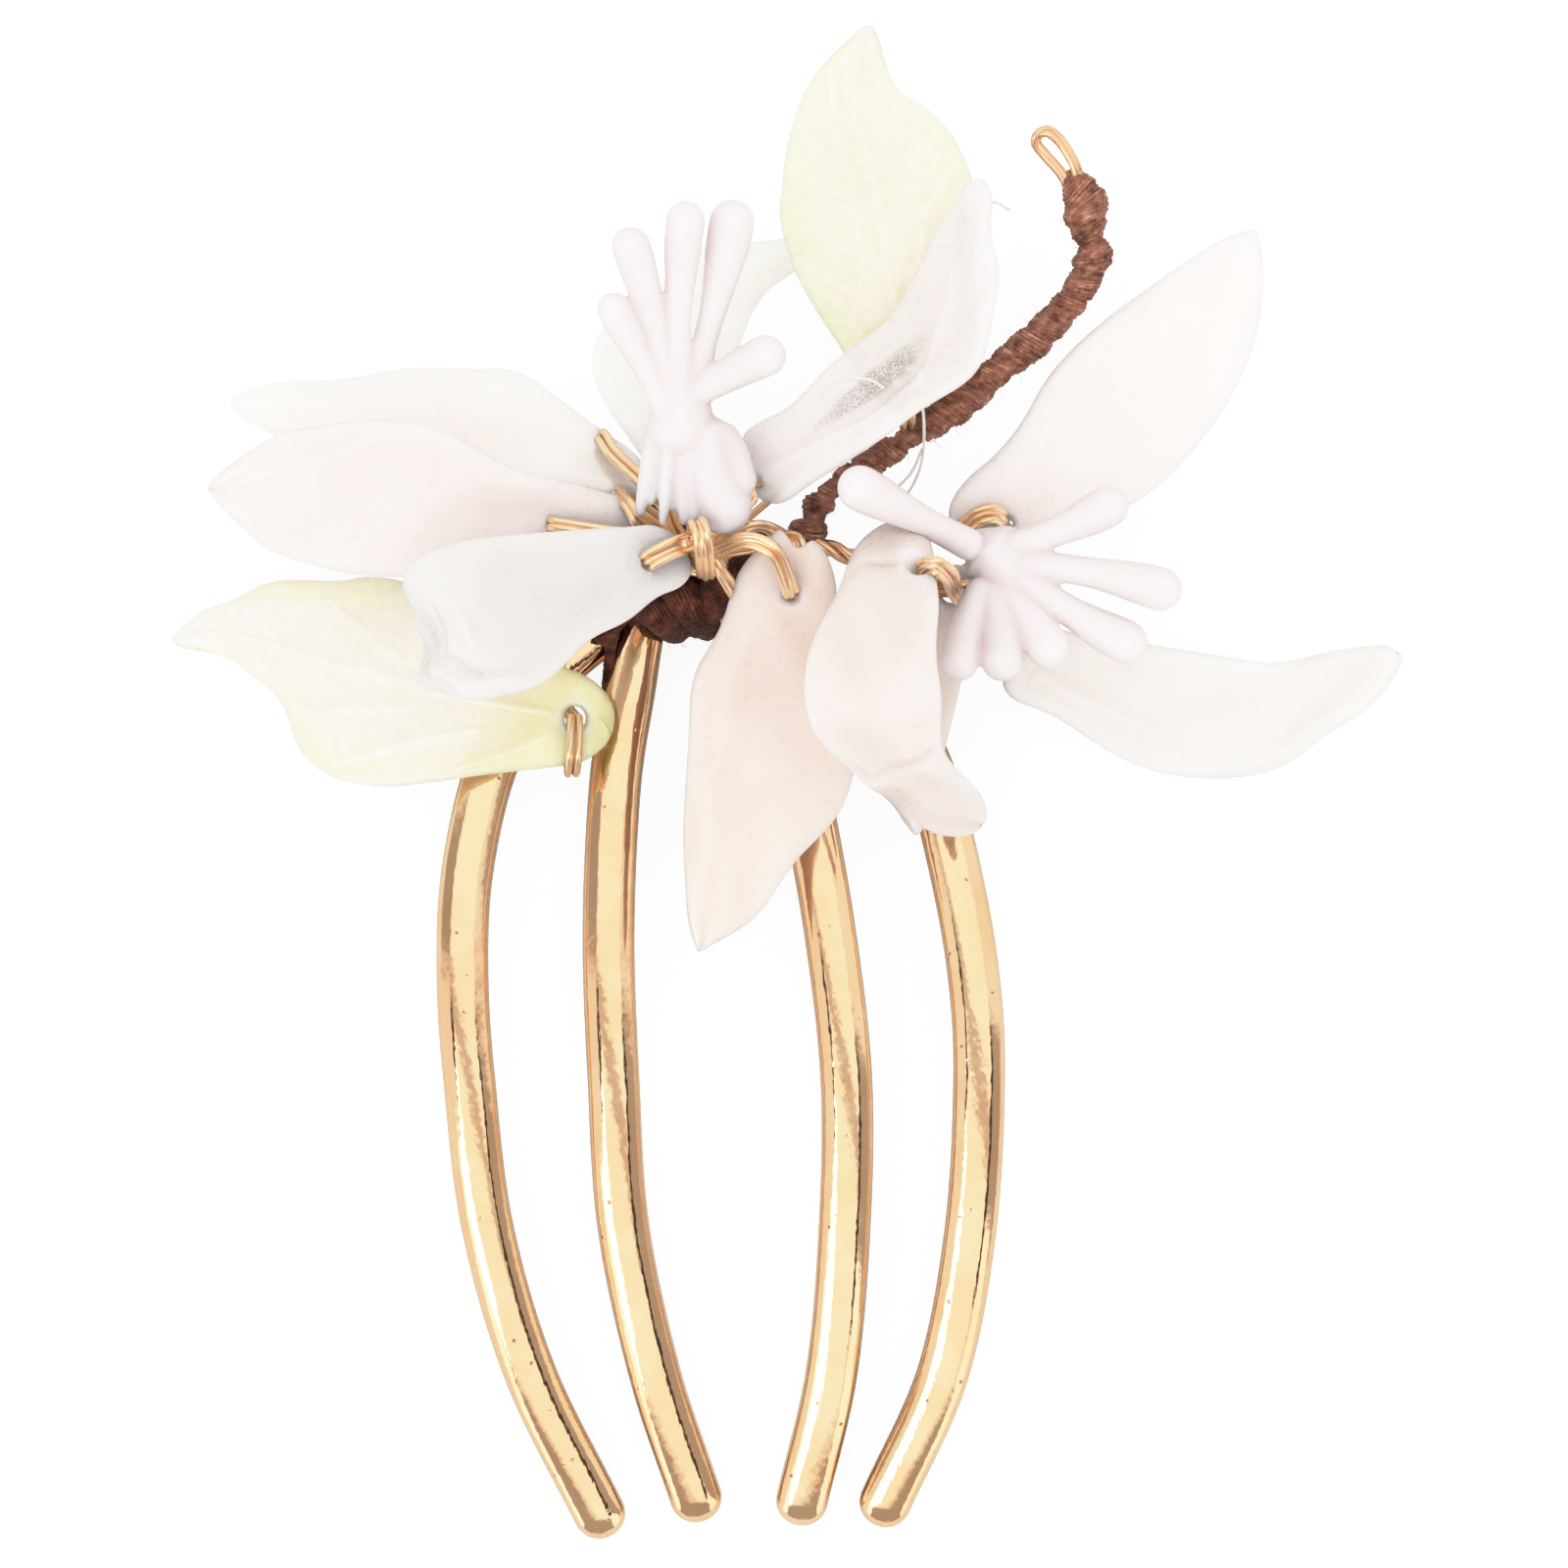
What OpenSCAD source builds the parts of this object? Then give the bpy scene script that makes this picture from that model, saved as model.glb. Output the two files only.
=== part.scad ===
// Four-tine hair comb with two wired flowers, two leaves and a thread-wrapped branch.
// The comb lies on its back: +Z is the front face, +Y the flower end, and Z = 0 the surface it rests on.
// All sizes are millimetres.

/* [Comb] */
// Width of a tine seen from the front
tine_w = 3.2; // [2.8:0.1:3.4]
// Thickness of a tine from front to back
tine_t = 2.2; // [1.8:0.1:2.4]
// Share of a tine's width taken by its flat front face
tine_face = 0.55; // [0.4:0.05:0.7]
// Rise of the comb's middle above the line from its arch to its tips
comb_bow = 3.6; // [3:0.1:4]

/* [Petals] */
// Thickness of a moulded petal
petal_t = 1.3; // [1:0.1:1.4]
// Radius of the wire hole in a petal
petal_hole_r = 1.1; // [1:0.05:1.15]

/* [Leaves] */
// Thickness of a leaf
leaf_t = 1.1; // [0.9:0.1:1.2]
// Radius of the wire hole in a leaf
leaf_hole_r = 0.95; // [0.9:0.05:1]

/* [Wire] */
// Diameter of the binding wire
wire_d = 0.5; // [0.4:0.05:0.5]
// Turns of wire through a petal's hole
wire_turns = 3; // [2:1:3]
// Radius of the wire knot that gathers a flower
knot_r = 1.5; // [1.2:0.1:1.6]

/* [Thread] */
// Greatest radius of the thread lump on the arch
lump_r = 3; // [2.8:0.1:3]
// Mean radius of the thread round the branch
branch_r = 1.15; // [1.1:0.05:1.25]
// Depth of the lumps along the branch
branch_lump = 0.15; // [0:0.05:0.2]

/* [Hidden] */

GOLD = [0.86, 0.68, 0.42];
FROST = [0.94, 0.91, 0.90];
LEAF_GREEN = [0.80, 0.86, 0.50];
THREAD_BROWN = [0.24, 0.12, 0.07];

// Clear space between neighbouring pieces
gap = 0.15;

// Comb: middle lines seen from the front. The outer one runs from tip to tip over the arch
OUTER_LINE = [
    [-11.3, -44.6], [-15.5, -36], [-18.1, -27], [-19.2, -18], [-19.6, -12], [-19.4, -6], [-18.2, 0],
    [-16.5, 3.8], [-13.8, 7.2], [-10.6, 9.7], [-7.6, 10.9], [-4.8, 11.3], [-2, 10.9], [1.2, 9.7], [4.5, 7.2],
    [7.2, 3.8], [9, 0.3], [10.6, -6], [11.6, -12], [11.9, -18], [11.4, -27], [9.7, -36], [6.2, -43.9]
];
INNER_LEFT = [
    [-8.8, 10.2], [-9.4, 6], [-10.3, 0], [-10.7, -9], [-10.4, -18], [-9.8, -27], [-7.9, -36], [-5.4, -43.6]
];
INNER_RIGHT = [
    [-0.8, 10.2], [0.2, 5], [1.2, 0], [2.8, -9], [3.8, -18], [3.7, -27], [2.9, -36], [1.1, -43.8]
];
arch_top = 11.3;
tine_length = arch_top - OUTER_LINE[0].y;
// Height of the comb's middle line at its arch and at its tips
arch_z = lump_r;
rest_gap = 0.05;
tip_z = tine_t / 2 + rest_gap;
outer_steps = 44;
inner_steps = 16;
// Share of a bar's width taken by its flat back, and its widest band's edges as shares of half its thickness
back_face = 0.65;
band_low = 0.2;
band_high = 0.33;
// Angles of the rings that round off a tip
TIP_TURNS = [30, 60, 80];

// Petals and leaves
// Rows: middle line from root to tip; width, root's share of it, place of the widest part, taper of
// the tip, blunt share of the tip; roll at root and tip; cup at root and tip; ring of the wire hole
LINE = 0;
OUTLINE = 1;
ROLL = 2;
CUP = 3;
HOLE = 4;
PETAL_A1 = [
    [[-8.4, 18.2, 10], [-13.8, 20.2, 9.4], [-19.8, 21.4, 8.6], [-27, 22.4, 8], [-33.7, 23.3, 8]],
    [8.8, 0.4, 0.5, 0.8, 0], [35, 40], [15, 25], 4
];
PETAL_A2 = [
    [[-8.5, 15.2, 12.6], [-14.8, 16.2, 13.5], [-21.6, 17.2, 14], [-28.2, 17.5, 13.5], [-35, 18, 12.5]],
    [9.7, 0.4, 0.6, 0.8, 0], [-5, -5], [15, 20], 5
];
PETAL_A3 = [
    [[-5.8, 13.7, 14.5], [-10.8, 12.1, 18], [-16.2, 10.3, 21.5], [-20.4, 9.2, 22.6], [-22.6, 7.4, 20]],
    [10.2, 0.5, 0.6, 0.5, 0], [5, 20], [20, 10], 4
];
PETAL_A4 = [
    [[-1.7, 17.7, 11.4], [2.4, 21.2, 13.4], [6.8, 24.8, 14.8], [10.4, 29.8, 15], [12, 36.8, 13]],
    [8.4, 0.5, 0.6, 0.75, 0], [-35, -50], [30, 20], 3
];
PETAL_A5 = [
    [[-6.3, 19.2, 7.6], [-7.5, 23.6, 6.3], [-6.2, 27.8, 5], [-2.4, 31, 3.6], [3, 33.2, 3]],
    [8.2, 0.5, 0.42, 1.1, 0], [0, 0], [10, 10], 3
];
PETAL_A6 = [
    [
        [0.8, 14, 13.5], [0.3, 9, 12.5], [-0.3, 4.2, 12], [-1.2, -0.5, 11.5], [-3, -5.4, 11],
        [-5.4, -10.1, 10.5]
    ],
    [10.2, 0.45, 0.5, 1, 0], [0, 0], [10, 10], 3
];
PETAL_B1 = [
    [[11.4, 15.1, 9], [16.8, 18.9, 8.6], [20.6, 22.7, 8], [25, 27.7, 7.5], [28.7, 33.7, 8.5]],
    [9.7, 0.6, 0.5, 0.75, 0], [0, 0], [10, 10], 3
];
PETAL_B2 = [
    [[14.2, 8.4, 7.5], [18.2, 6.4, 4.4], [24, 4.5, 1.4], [30, 4.4, 1.1], [34.4, 6.2, 3.8], [37.4, 8, 7]],
    [8, 0.5, 0.42, 1.3, 0.35], [10, 15], [25, 25], 3
];
PETAL_B3 = [
    [[7.6, 14.5, 14.5], [5.9, 10.6, 20], [5.3, 6, 22.5], [6.3, 2.1, 21.5], [9, -0.7, 18], [12, -2.4, 15]],
    [8.4, 0.5, 0.45, 0.6, 0], [0, 0], [15, 10], 3
];
PETAL_B4 = [
    [[11, 13.2, 12], [9, 9.2, 11.2], [7.2, 4.8, 9.6], [6.8, 0.6, 8.6], [7.8, -3.4, 8.4]],
    [6.4, 0.45, 0.5, 0.7, 0], [0, 0], [10, 10], 3
];
LEAF_UPPER = [
    [[7.5, 22.7, 9.6], [6.9, 27.2, 9.6], [6.2, 32, 9.4], [5.6, 36.6, 9], [4.3, 41.6, 8.6], [5.2, 46.2, 8.6]],
    [12, 0.4, 0.5, 1.9, 0.25], [0, 0], [12, 12], 3
];
LEAF_LOWER = [
    [
        [-10.3, 3.8, 8.2], [-15.5, 4.2, 8.2], [-21.6, 5.6, 6.6], [-27.6, 6.9, 4.2], [-33, 9.3, 1.8],
        [-37.5, 8.8, 0.8]
    ],
    [12.8, 0.4, 0.5, 2.3, 0.2], [0, 0], [12, 12], 3
];
// Cross rings of a petal between its two ends, and steps across each face
petal_rings = 14;
petal_steps = 6;
length_steps = 20;
// Share of the length in which the root's outline and the ends' thickness round off
root_round = 0.1;
end_round = 0.06;

// Wire: knots behind the flowers and the twisted stem between them
KNOT_A = [-4.8, 14, 7.2];
KNOT_B = [12.6, 12, 6.6];
STEM_B = [[0, 12, 4.6], [2.8, 13.6, 5.8], [6.6, 13.4, 6.4], [10.4, 12.5, 6.6]];
stem_steps = 10;
knot_fn = 24;
wire_r = wire_d / 2;
wire_sides = 5;
// Radius of wires twisted together, as a share of one wire's diameter
twist_share = 0.9;
stem_r = wire_d * twist_share;
stem_sides = 8;
// Coils: distance between turns, steps in a turn, and how square a turn is (1 is a round one)
wire_pitch = wire_d + 0.04;
turn_steps = 8;
coil_power = 0.75;
tie_turns = 2;
// Coils that hold the leaves: middle, half length, half thickness
TIE_UPPER = [7.4, 22.1, 8.3];
tie_upper_long = 2.85;
tie_upper_thin = 2.6;
TIE_LOWER = [-12.75, 2.2, 8.2];
tie_lower_long = 1.8;
tie_lower_thin = 1.35;
LEAF_STEM = [[-10.4, 9, 5.6], [-12, 6, 6], [-13, 4.4, 6.4]];
// Wires that hold the stamens
STAMEN_COIL_A = [-3.7, 15.6, 12.1];
stamen_coil_long = 1.6;
stamen_coil_thin = 1.9;
STAMEN_POST_B = [[13.2, 12.6, 8.3], [13.6, 12.9, 10.5], [13.6, 13, 12.8]];

// Branch: middle line from the lump on the arch to its end, and the loop of bare wire there
BRANCH = [
    [-1.2, 13.6, 5.6], [1.2, 15.5, 6.6], [3.3, 18.1, 7.2], [6.3, 20.5, 7.6], [9.6, 22.5, 7.8],
    [12.6, 24.6, 8], [15.6, 27.3, 8.4], [17.9, 30.3, 9], [18.9, 33, 9.6], [18.5, 35.3, 10.2], [17.4, 37, 10.6]
];
EYE = [
    [17.8, 37.8, 10.8], [17, 38.8, 11], [16.2, 39.7, 11.2], [15.4, 39.9, 11.4], [15.1, 39.2, 11.5],
    [16.4, 37.6, 11.2]
];
eye_steps = 16;
branch_rings = 34;
branch_sides = 8;
lumps_along = 9;

// Stamens. Columns: root, root radius, tip, tip radius
STAMENS_A = [
    [[-6.8, 22.5, 16], 0.9, [-10.4, 28.7, 18.5], 0.95],
    [[-6.6, 23.5, 16], 0.8, [-9.3, 32.4, 19.5], 1.2],
    [[-6.2, 24, 16], 0.9, [-5.9, 34, 19], 1.25],
    [[-5.8, 24, 16], 1, [-3.1, 33.9, 17.5], 1.45],
    [[-5.6, 24, 16], 0.9, [-1.1, 25.8, 18], 1.25],
    [[-6.3, 24, 16], 1.3, [-6.4, 20.5, 15.4], 1.5],
    [[-6.9, 21, 15.4], 1, [-8.2, 17, 15], 0.6],
    [[-6.4, 20.5, 15.4], 1, [-6.7, 17.2, 15.2], 0.6],
    [[-5, 20.5, 15.4], 1.3, [-3.2, 17.4, 15.2], 1.35],
    [[-4.6, 21.4, 15.2], 1.2, [-3.2, 19, 15.2], 1.6]
];
STAMENS_B = [
    [[11.8, 14.2, 15.9], 0.8, [4.6, 17.9, 18.6], 1.4],
    [[14, 14.6, 15.2], 0.7, [19.6, 16.8, 16.5], 1.2],
    [[15, 13.4, 15.2], 0.8, [22.8, 11.8, 17], 1.3],
    [[14.6, 12.6, 15.2], 0.8, [20.8, 8.6, 16.5], 1.3],
    [[13.6, 11.8, 15.2], 0.7, [16, 8.4, 17], 1.15],
    [[12.8, 11.8, 15.2], 0.7, [13.2, 7.4, 17], 1.3],
    [[12, 12, 15.2], 0.7, [10.6, 7.4, 17.3], 1.2],
    [[12.4, 14.2, 15], 1.5, [14.4, 12.8, 15], 1.6],
    [[13, 14, 15.8], 1, [13.4, 13.2, 17.4], 0.8]
];
bulb_fn = 12;

// Thread lump on the arch. Columns: x, y and z of its middle, radius
LUMP = [
    [-10.1, 10.1, 3, 2.2], [-9, 10.8, 3, 2.7], [-7.4, 11.3, 3, lump_r], [-5.6, 11.8, 3, lump_r],
    [-4.2, 12, 3.1, 2.9], [-3, 12, 3.3, 2.5]
];
lump_steps = 9;
lump_fn = 20;

// Vectors and curves

function unit(v) = v / norm(v);
function mix(a, b, t) = a + (b - a) * t;

// Point i of a list, or a mirrored one just past the list's ends
function point_at(p, i) =
    i < 0 ? 2 * p[0] - p[1] : i >= len(p) ? 2 * p[len(p) - 1] - p[len(p) - 2] : p[i];
function bend(a, b, c, d, t) =
    (2 * b + (c - a) * t + (2 * a - 5 * b + 4 * c - d) * t * t + (3 * b - a - 3 * c + d) * t * t * t) / 2;
// Smooth curve through the points p, for t from 0 to 1
function curve_at(p, t) =
    let (last = len(p) - 1, s = min(max(t, 0), 1) * last, i = min(floor(s), last - 1))
    bend(point_at(p, i - 1), p[i], p[i + 1], point_at(p, i + 2), s - i);
function curve_dir(p, t) = unit(curve_at(p, min(t + 0.01, 1)) - curve_at(p, max(t - 0.01, 0)));
function curve_points(p, steps) = [for (i = [0:steps]) curve_at(p, i / steps)];

// Direction of a path at its point i
function path_dir(path, i) = unit(path[min(i + 1, len(path) - 1)] - path[max(i - 1, 0)]);
// Part of vector v that stands square to direction d
function square_to(d, v) = unit(v - d * (v * d));
// Cross direction at each point of a path, turning as little as it can
function path_normals(path) =
    let (first = path_dir(path, 0), guess = abs(first.z) < 0.9 ? [0, 0, 1] : [1, 0, 0])
    [
        for (i = 0, n = square_to(first, guess); i < len(path); i = i + 1, n = square_to(path_dir(path, i), n))
            n
    ];
// Triangles between rings of points that follow each other
function band_faces(rings, sides) = [
    for (i = [0:rings - 2], j = [0:sides - 1])
        let (a = i * sides + j, b = i * sides + (j + 1) % sides)
        each [[a, b, b + sides], [a, b + sides, a + sides]]
];

// Solid skinned over rings of points that follow each other
module skin(rings) {
    sides = len(rings[0]);
    last = len(rings) - 1;
    start = [for (j = [sides - 1:-1:0]) j];
    finish = [for (j = [0:sides - 1]) last * sides + j];
    faces = concat([start], band_faces(last + 1, sides), [finish]);
    polyhedron([for (ring = rings) each ring], faces, convexity = 6);
}

// Round tube along a path, with a radius for each of its points
module tube(path, radii, sides) {
    normals = path_normals(path);
    skin([
        for (i = [0:len(path) - 1])
            let (d = path_dir(path, i), n = normals[i])
            [
                for (j = [0:sides - 1])
                    let (a = 360 * j / sides)
                    path[i] + radii[i] * (n * cos(a) - cross(d, n) * sin(a))
            ]
    ]);
}

// Comb

function comb_z(y) =
    let (u = (arch_top - y) / tine_length)
    mix(arch_z, tip_z, u) + 4 * comb_bow * u * (1 - u);
// Middle line of a bar in space
function bar_path(flat, steps) =
    [for (i = [0:steps]) let (p = curve_at(flat, i / steps)) [p.x, p.y, comb_z(p.y)]];

// Outline of a bar at point p, square to direction d
function bar_ring(p, d, size, grow) =
    let (
        side = unit(cross([0, 0, 1], d)),
        up = cross(d, side),
        w = (tine_w / 2 + grow) * size,
        t = (tine_t / 2 + grow) * size,
        face = tine_face * w,
        back = back_face * w,
        low = -band_low * t,
        high = band_high * t
    )
    [
        for (q = [[w, low], [back, -t], [-back, -t], [-w, low], [-w, high], [-face, t], [face, t], [w, high]])
            p + side * q.x + up * q.y
    ];
// Rings that round off the tip at point p, ahead (1) or behind (-1), in the order in which they leave it
function tip_rings(p, d, way, grow) =
    [for (a = TIP_TURNS) bar_ring(p + d * way * sin(a) * (tine_w / 2 + grow), d, cos(a), grow)];
function reversed(list) = [for (i = [len(list) - 1:-1:0]) list[i]];

// Bar along a path, rounded at its end and, where asked, at its start
module bar(path, grow, round_start) {
    last = len(path) - 1;
    head = round_start ? reversed(tip_rings(path[0], path_dir(path, 0), -1, grow)) : [];
    body = [for (i = [0:last]) bar_ring(path[i], path_dir(path, i), 1, grow)];
    tip = tip_rings(path[last], path_dir(path, last), 1, grow);
    skin(concat(head, body, tip));
}

module comb_bars(grow = 0) {
    bar(bar_path(OUTER_LINE, outer_steps), grow, true);
    bar(bar_path(INNER_LEFT, inner_steps), grow, false);
    bar(bar_path(INNER_RIGHT, inner_steps), grow, false);
}

module comb() {
    color(GOLD) comb_bars();
}

// Thread

module ball(p, radius, fn) {
    translate([p.x, p.y, p.z]) sphere(radius, $fn = fn);
}

module comb_wrap() {
    lumps = curve_points(LUMP, lump_steps);
    color(THREAD_BROWN)
        difference() {
            for (i = [0:lump_steps - 1])
                hull() {
                    ball(lumps[i], lumps[i][3], lump_fn);
                    ball(lumps[i + 1], lumps[i + 1][3], lump_fn);
                }
            comb_bars(gap);
        }
}

module branch_wrap() {
    path = curve_points(BRANCH, branch_rings);
    radii = [for (i = [0:branch_rings]) branch_r + branch_lump * sin(360 * lumps_along * i / branch_rings)];
    color(THREAD_BROWN) tube(path, radii, branch_sides);
}

module branch_wire() {
    wire(curve_points(EYE, eye_steps), stem_r, stem_sides);
}

// Petals and leaves

// Frame of a petal at place u: its direction, its side and its front
function petal_frame(row, u) =
    let (
        line = row[LINE],
        d = curve_dir(line, u),
        span = line[len(line) - 1] - line[0],
        up = unit(cross(d, [-span.y, span.x, 0])),
        side = cross(up, d),
        roll = mix(row[ROLL][0], row[ROLL][1], u)
    )
    [d, side * cos(roll) + up * sin(roll), up * cos(roll) - side * sin(roll)];

// Half the width of a petal at place u
function petal_half(row, u) =
    let (
        outline = row[OUTLINE],
        belly = outline[2],
        rise = mix(outline[1], 1, (1 - cos(180 * min(u / belly, 1))) / 2),
        past = max((u - belly) / (1 - belly), 0),
        fall = mix(pow(1 - pow(past, 2), outline[3]), sqrt(1 - pow(past, 4)), outline[4]),
        root = u > root_round ? 1 : sqrt(1 - pow(1 - u / root_round, 2))
    )
    outline[0] / 2 * rise * fall * root;

// Point of a petal at place u along it and v across it, on its front (1) or back (-1)
function petal_point(row, thick, u, v, face) =
    let (
        frame = petal_frame(row, u),
        cup = mix(row[CUP][0], row[CUP][1], u),
        radius = petal_half(row, u) * 180 / (cup * PI),
        lean = cup * v,
        end = min(u, 1 - u) / end_round,
        ends = end > 1 ? 1 : sqrt(1 - pow(1 - end, 2)),
        wall = face * thick / 2 * sqrt(1 - pow(v, 4)) * ends
    )
    curve_at(row[LINE], u)
        + frame[1] * (radius - wall) * sin(lean)
        + frame[2] * (radius * (1 - cos(lean)) + wall * cos(lean));

function ring_place(i) = (1 - cos(180 * i / (petal_rings + 1))) / 2;
function step_place(j) = sin(90 * (2 * j / petal_steps - 1));
function sum(list, i = 0) = i < len(list) ? list[i] + sum(list, i + 1) : 0;
function petal_length(row) =
    let (p = curve_points(row[LINE], length_steps)) sum([for (i = [1:length_steps]) norm(p[i] - p[i - 1])]);

// Point on ring i and step j of one face, moved onto the hole's edge where it borders the hole
function net_point(row, thick, hole_r, long, i, j, face) =
    let (
        di = i - row[HOLE],
        dj = j - petal_steps / 2,
        rim = max(abs(di), abs(dj)) == 1,
        turn = atan2(dj, di),
        middle = ring_place(row[HOLE]),
        u = rim ? middle + hole_r * cos(turn) / long : ring_place(i),
        v = rim ? hole_r * sin(turn) / petal_half(row, middle) : step_place(j)
    )
    petal_point(row, thick, u, v, face);

// Moulded petal or leaf with a hole for the wire
module blade(row, thick, hole_r) {
    long = petal_length(row);
    sides = 2 * petal_steps;
    middle = petal_steps / 2;
    skin_points = [
        for (i = [1:petal_rings], j = [0:sides - 1])
            net_point(row, thick, hole_r, long, i, j > petal_steps ? sides - j : j, j > petal_steps ? -1 : 1)
    ];
    last = (petal_rings - 1) * sides;
    root = petal_rings * sides;
    skin = [
        for (i = [0:petal_rings - 2], j = [0:sides - 1])
            let (
                a = i * sides + j,
                b = i * sides + (j + 1) % sides,
                band = i + 1 == row[HOLE] || i + 2 == row[HOLE],
                across = j < petal_steps ? j : sides - 1 - j,
                column = across == middle || across == middle - 1
            )
            if (!(band && column)) each [[a, b, b + sides], [a, b + sides, a + sides]]
    ];
    rim = [[-1, -1], [-1, 0], [-1, 1], [0, 1], [1, 1], [1, 0], [1, -1], [0, -1]];
    front = [for (p = rim) (row[HOLE] - 1 + p[0]) * sides + middle + p[1]];
    back = [for (p = rim) (row[HOLE] - 1 + p[0]) * sides + sides - middle - p[1]];
    walls = [
        for (k = [0:7])
            let (next = (k + 1) % 8)
            each [[front[k], back[next], back[k]], [front[k], front[next], back[next]]]
    ];
    caps = [
        for (j = [0:sides - 1])
            each [[root, (j + 1) % sides, j], [root + 1, last + j, last + (j + 1) % sides]]
    ];
    points = concat(skin_points, [curve_at(row[LINE], 0), curve_at(row[LINE], 1)]);
    polyhedron(points, concat(skin, walls, caps), convexity = 6);
}

module petal(row) {
    color(FROST) blade(row, petal_t, petal_hole_r);
}

module leaf(row) {
    color(LEAF_GREEN) blade(row, leaf_t, leaf_hole_r);
}

// Wire

// Power of a number that keeps its sign, which squares off a circle
function boxed(x) = sign(x) * pow(abs(x), coil_power);
// Turns of wire round the middle point, long one way and thin the other
function coil(middle, long, thin, half_long, half_thin, turns) = [
    for (i = [0:turns * turn_steps])
        let (a = 360 * i / turn_steps)
        middle + long * half_long * boxed(cos(a)) + thin * half_thin * boxed(sin(a))
            + cross(long, thin) * wire_pitch * (i / turn_steps - turns / 2)
];

module wire(path, radius = wire_r, sides = wire_sides) {
    color(GOLD) tube(path, [for (p = path) radius], sides);
}

// Wire from its anchor to a petal's root and round through its hole
module petal_wire(row, anchor, anchor_r) {
    long = petal_length(row);
    hole = ring_place(row[HOLE]);
    frame = petal_frame(row, hole / 2);
    turns = coil(
        curve_at(row[LINE], hole / 2) - frame[0] * wire_d, -frame[0], frame[2],
        hole * long / 2 + wire_d + gap, petal_t / 2 + wire_r + 3 * gap, wire_turns
    );
    start = anchor + unit(turns[0] - anchor) * (anchor_r + wire_r + gap);
    wire(concat([start], turns));
}

module tie_upper() {
    wire(coil(TIE_UPPER, [0, 1, 0], [0, 0, 1], tie_upper_long, tie_upper_thin, tie_turns));
}

module tie_lower() {
    turns = coil(TIE_LOWER, [0, 1, 0], [0, 0, -1], tie_lower_long, tie_lower_thin, tie_turns);
    wire(concat(LEAF_STEM, turns));
}

module stamen_wire_a() {
    wire(coil(STAMEN_COIL_A, [0, -1, 0], [0, 0, 1], stamen_coil_long, stamen_coil_thin, tie_turns));
}

module stamen_wire_b() {
    wire(STAMEN_POST_B, stem_r, stem_sides);
}

module knot(middle) {
    color(GOLD) translate(middle) sphere(knot_r, $fn = knot_fn);
}

module stem_b() {
    wire(curve_points(STEM_B, stem_steps), stem_r, stem_sides);
}

// Stamens

module stamens(rows) {
    color(FROST)
        for (row = rows)
            hull() {
                ball(row[0], row[1], bulb_fn);
                ball(row[2], row[3], bulb_fn);
            }
}

comb();
comb_wrap();
branch_wrap();
branch_wire();
petal(PETAL_A1);  // petal_a1
petal(PETAL_A2);  // petal_a2
petal(PETAL_A3);  // petal_a3
petal(PETAL_A4);  // petal_a4
petal(PETAL_A5);  // petal_a5
petal(PETAL_A6);  // petal_a6
petal(PETAL_B1);  // petal_b1
petal(PETAL_B2);  // petal_b2
petal(PETAL_B3);  // petal_b3
petal(PETAL_B4);  // petal_b4
petal_wire(PETAL_A1, KNOT_A, knot_r);  // wire_a1
petal_wire(PETAL_A2, KNOT_A, knot_r);  // wire_a2
petal_wire(PETAL_A3, KNOT_A, knot_r);  // wire_a3
petal_wire(PETAL_A4, KNOT_A, knot_r);  // wire_a4
petal_wire(PETAL_A5, KNOT_A, knot_r);  // wire_a5
petal_wire(PETAL_A6, KNOT_A, knot_r);  // wire_a6
petal_wire(PETAL_B1, KNOT_B, knot_r);  // wire_b1
petal_wire(PETAL_B2, KNOT_B, knot_r);  // wire_b2
petal_wire(PETAL_B3, STEM_B[2], stem_r);  // wire_b3
petal_wire(PETAL_B4, KNOT_B, knot_r);  // wire_b4
stamens(STAMENS_A);  // stamens_a
stamens(STAMENS_B);  // stamens_b
stamen_wire_a();
stamen_wire_b();
knot(KNOT_A);  // knot_a
knot(KNOT_B);  // knot_b
stem_b();
leaf(LEAF_UPPER);  // leaf_upper
leaf(LEAF_LOWER);  // leaf_lower
tie_upper();
tie_lower();
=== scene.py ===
import logging
import math
from dataclasses import dataclass, replace
from enum import Enum
from typing import Optional, Sequence

import bmesh
import bpy
import numpy as np
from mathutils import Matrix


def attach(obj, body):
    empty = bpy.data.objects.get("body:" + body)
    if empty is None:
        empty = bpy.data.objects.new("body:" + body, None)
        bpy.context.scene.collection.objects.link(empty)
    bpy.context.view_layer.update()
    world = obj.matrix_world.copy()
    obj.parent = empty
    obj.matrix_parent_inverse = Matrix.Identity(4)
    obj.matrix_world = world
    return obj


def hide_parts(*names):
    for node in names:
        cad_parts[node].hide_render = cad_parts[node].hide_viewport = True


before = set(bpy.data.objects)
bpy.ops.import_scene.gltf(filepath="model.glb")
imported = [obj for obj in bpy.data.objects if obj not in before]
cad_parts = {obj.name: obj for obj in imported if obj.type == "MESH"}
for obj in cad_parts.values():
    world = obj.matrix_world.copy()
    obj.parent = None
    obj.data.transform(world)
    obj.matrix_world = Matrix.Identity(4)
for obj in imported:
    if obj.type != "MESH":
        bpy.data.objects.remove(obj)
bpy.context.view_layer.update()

LOG = logging.getLogger("hair_comb")
Array = np.ndarray
Socket = bpy.types.NodeSocket
Piece = bpy.types.Object
Material = bpy.types.Material
Mesh = bpy.types.Mesh
Number3 = Sequence[float]
Number4 = tuple[float, float, float, float]
Pair = tuple[float, float]
Colour = tuple[float, float, float]
MM = 0.001


class Slot(Enum):
    """Material slots of the record."""

    METAL = "gold_metal"
    WIRE = "gold_wire"
    THREAD = "brown_thread"
    PETAL = "frosted_petal"
    STAMEN = "frosted_stamen"
    LEAF = "green_leaf"


# Vectors and curves, in millimetres


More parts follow.
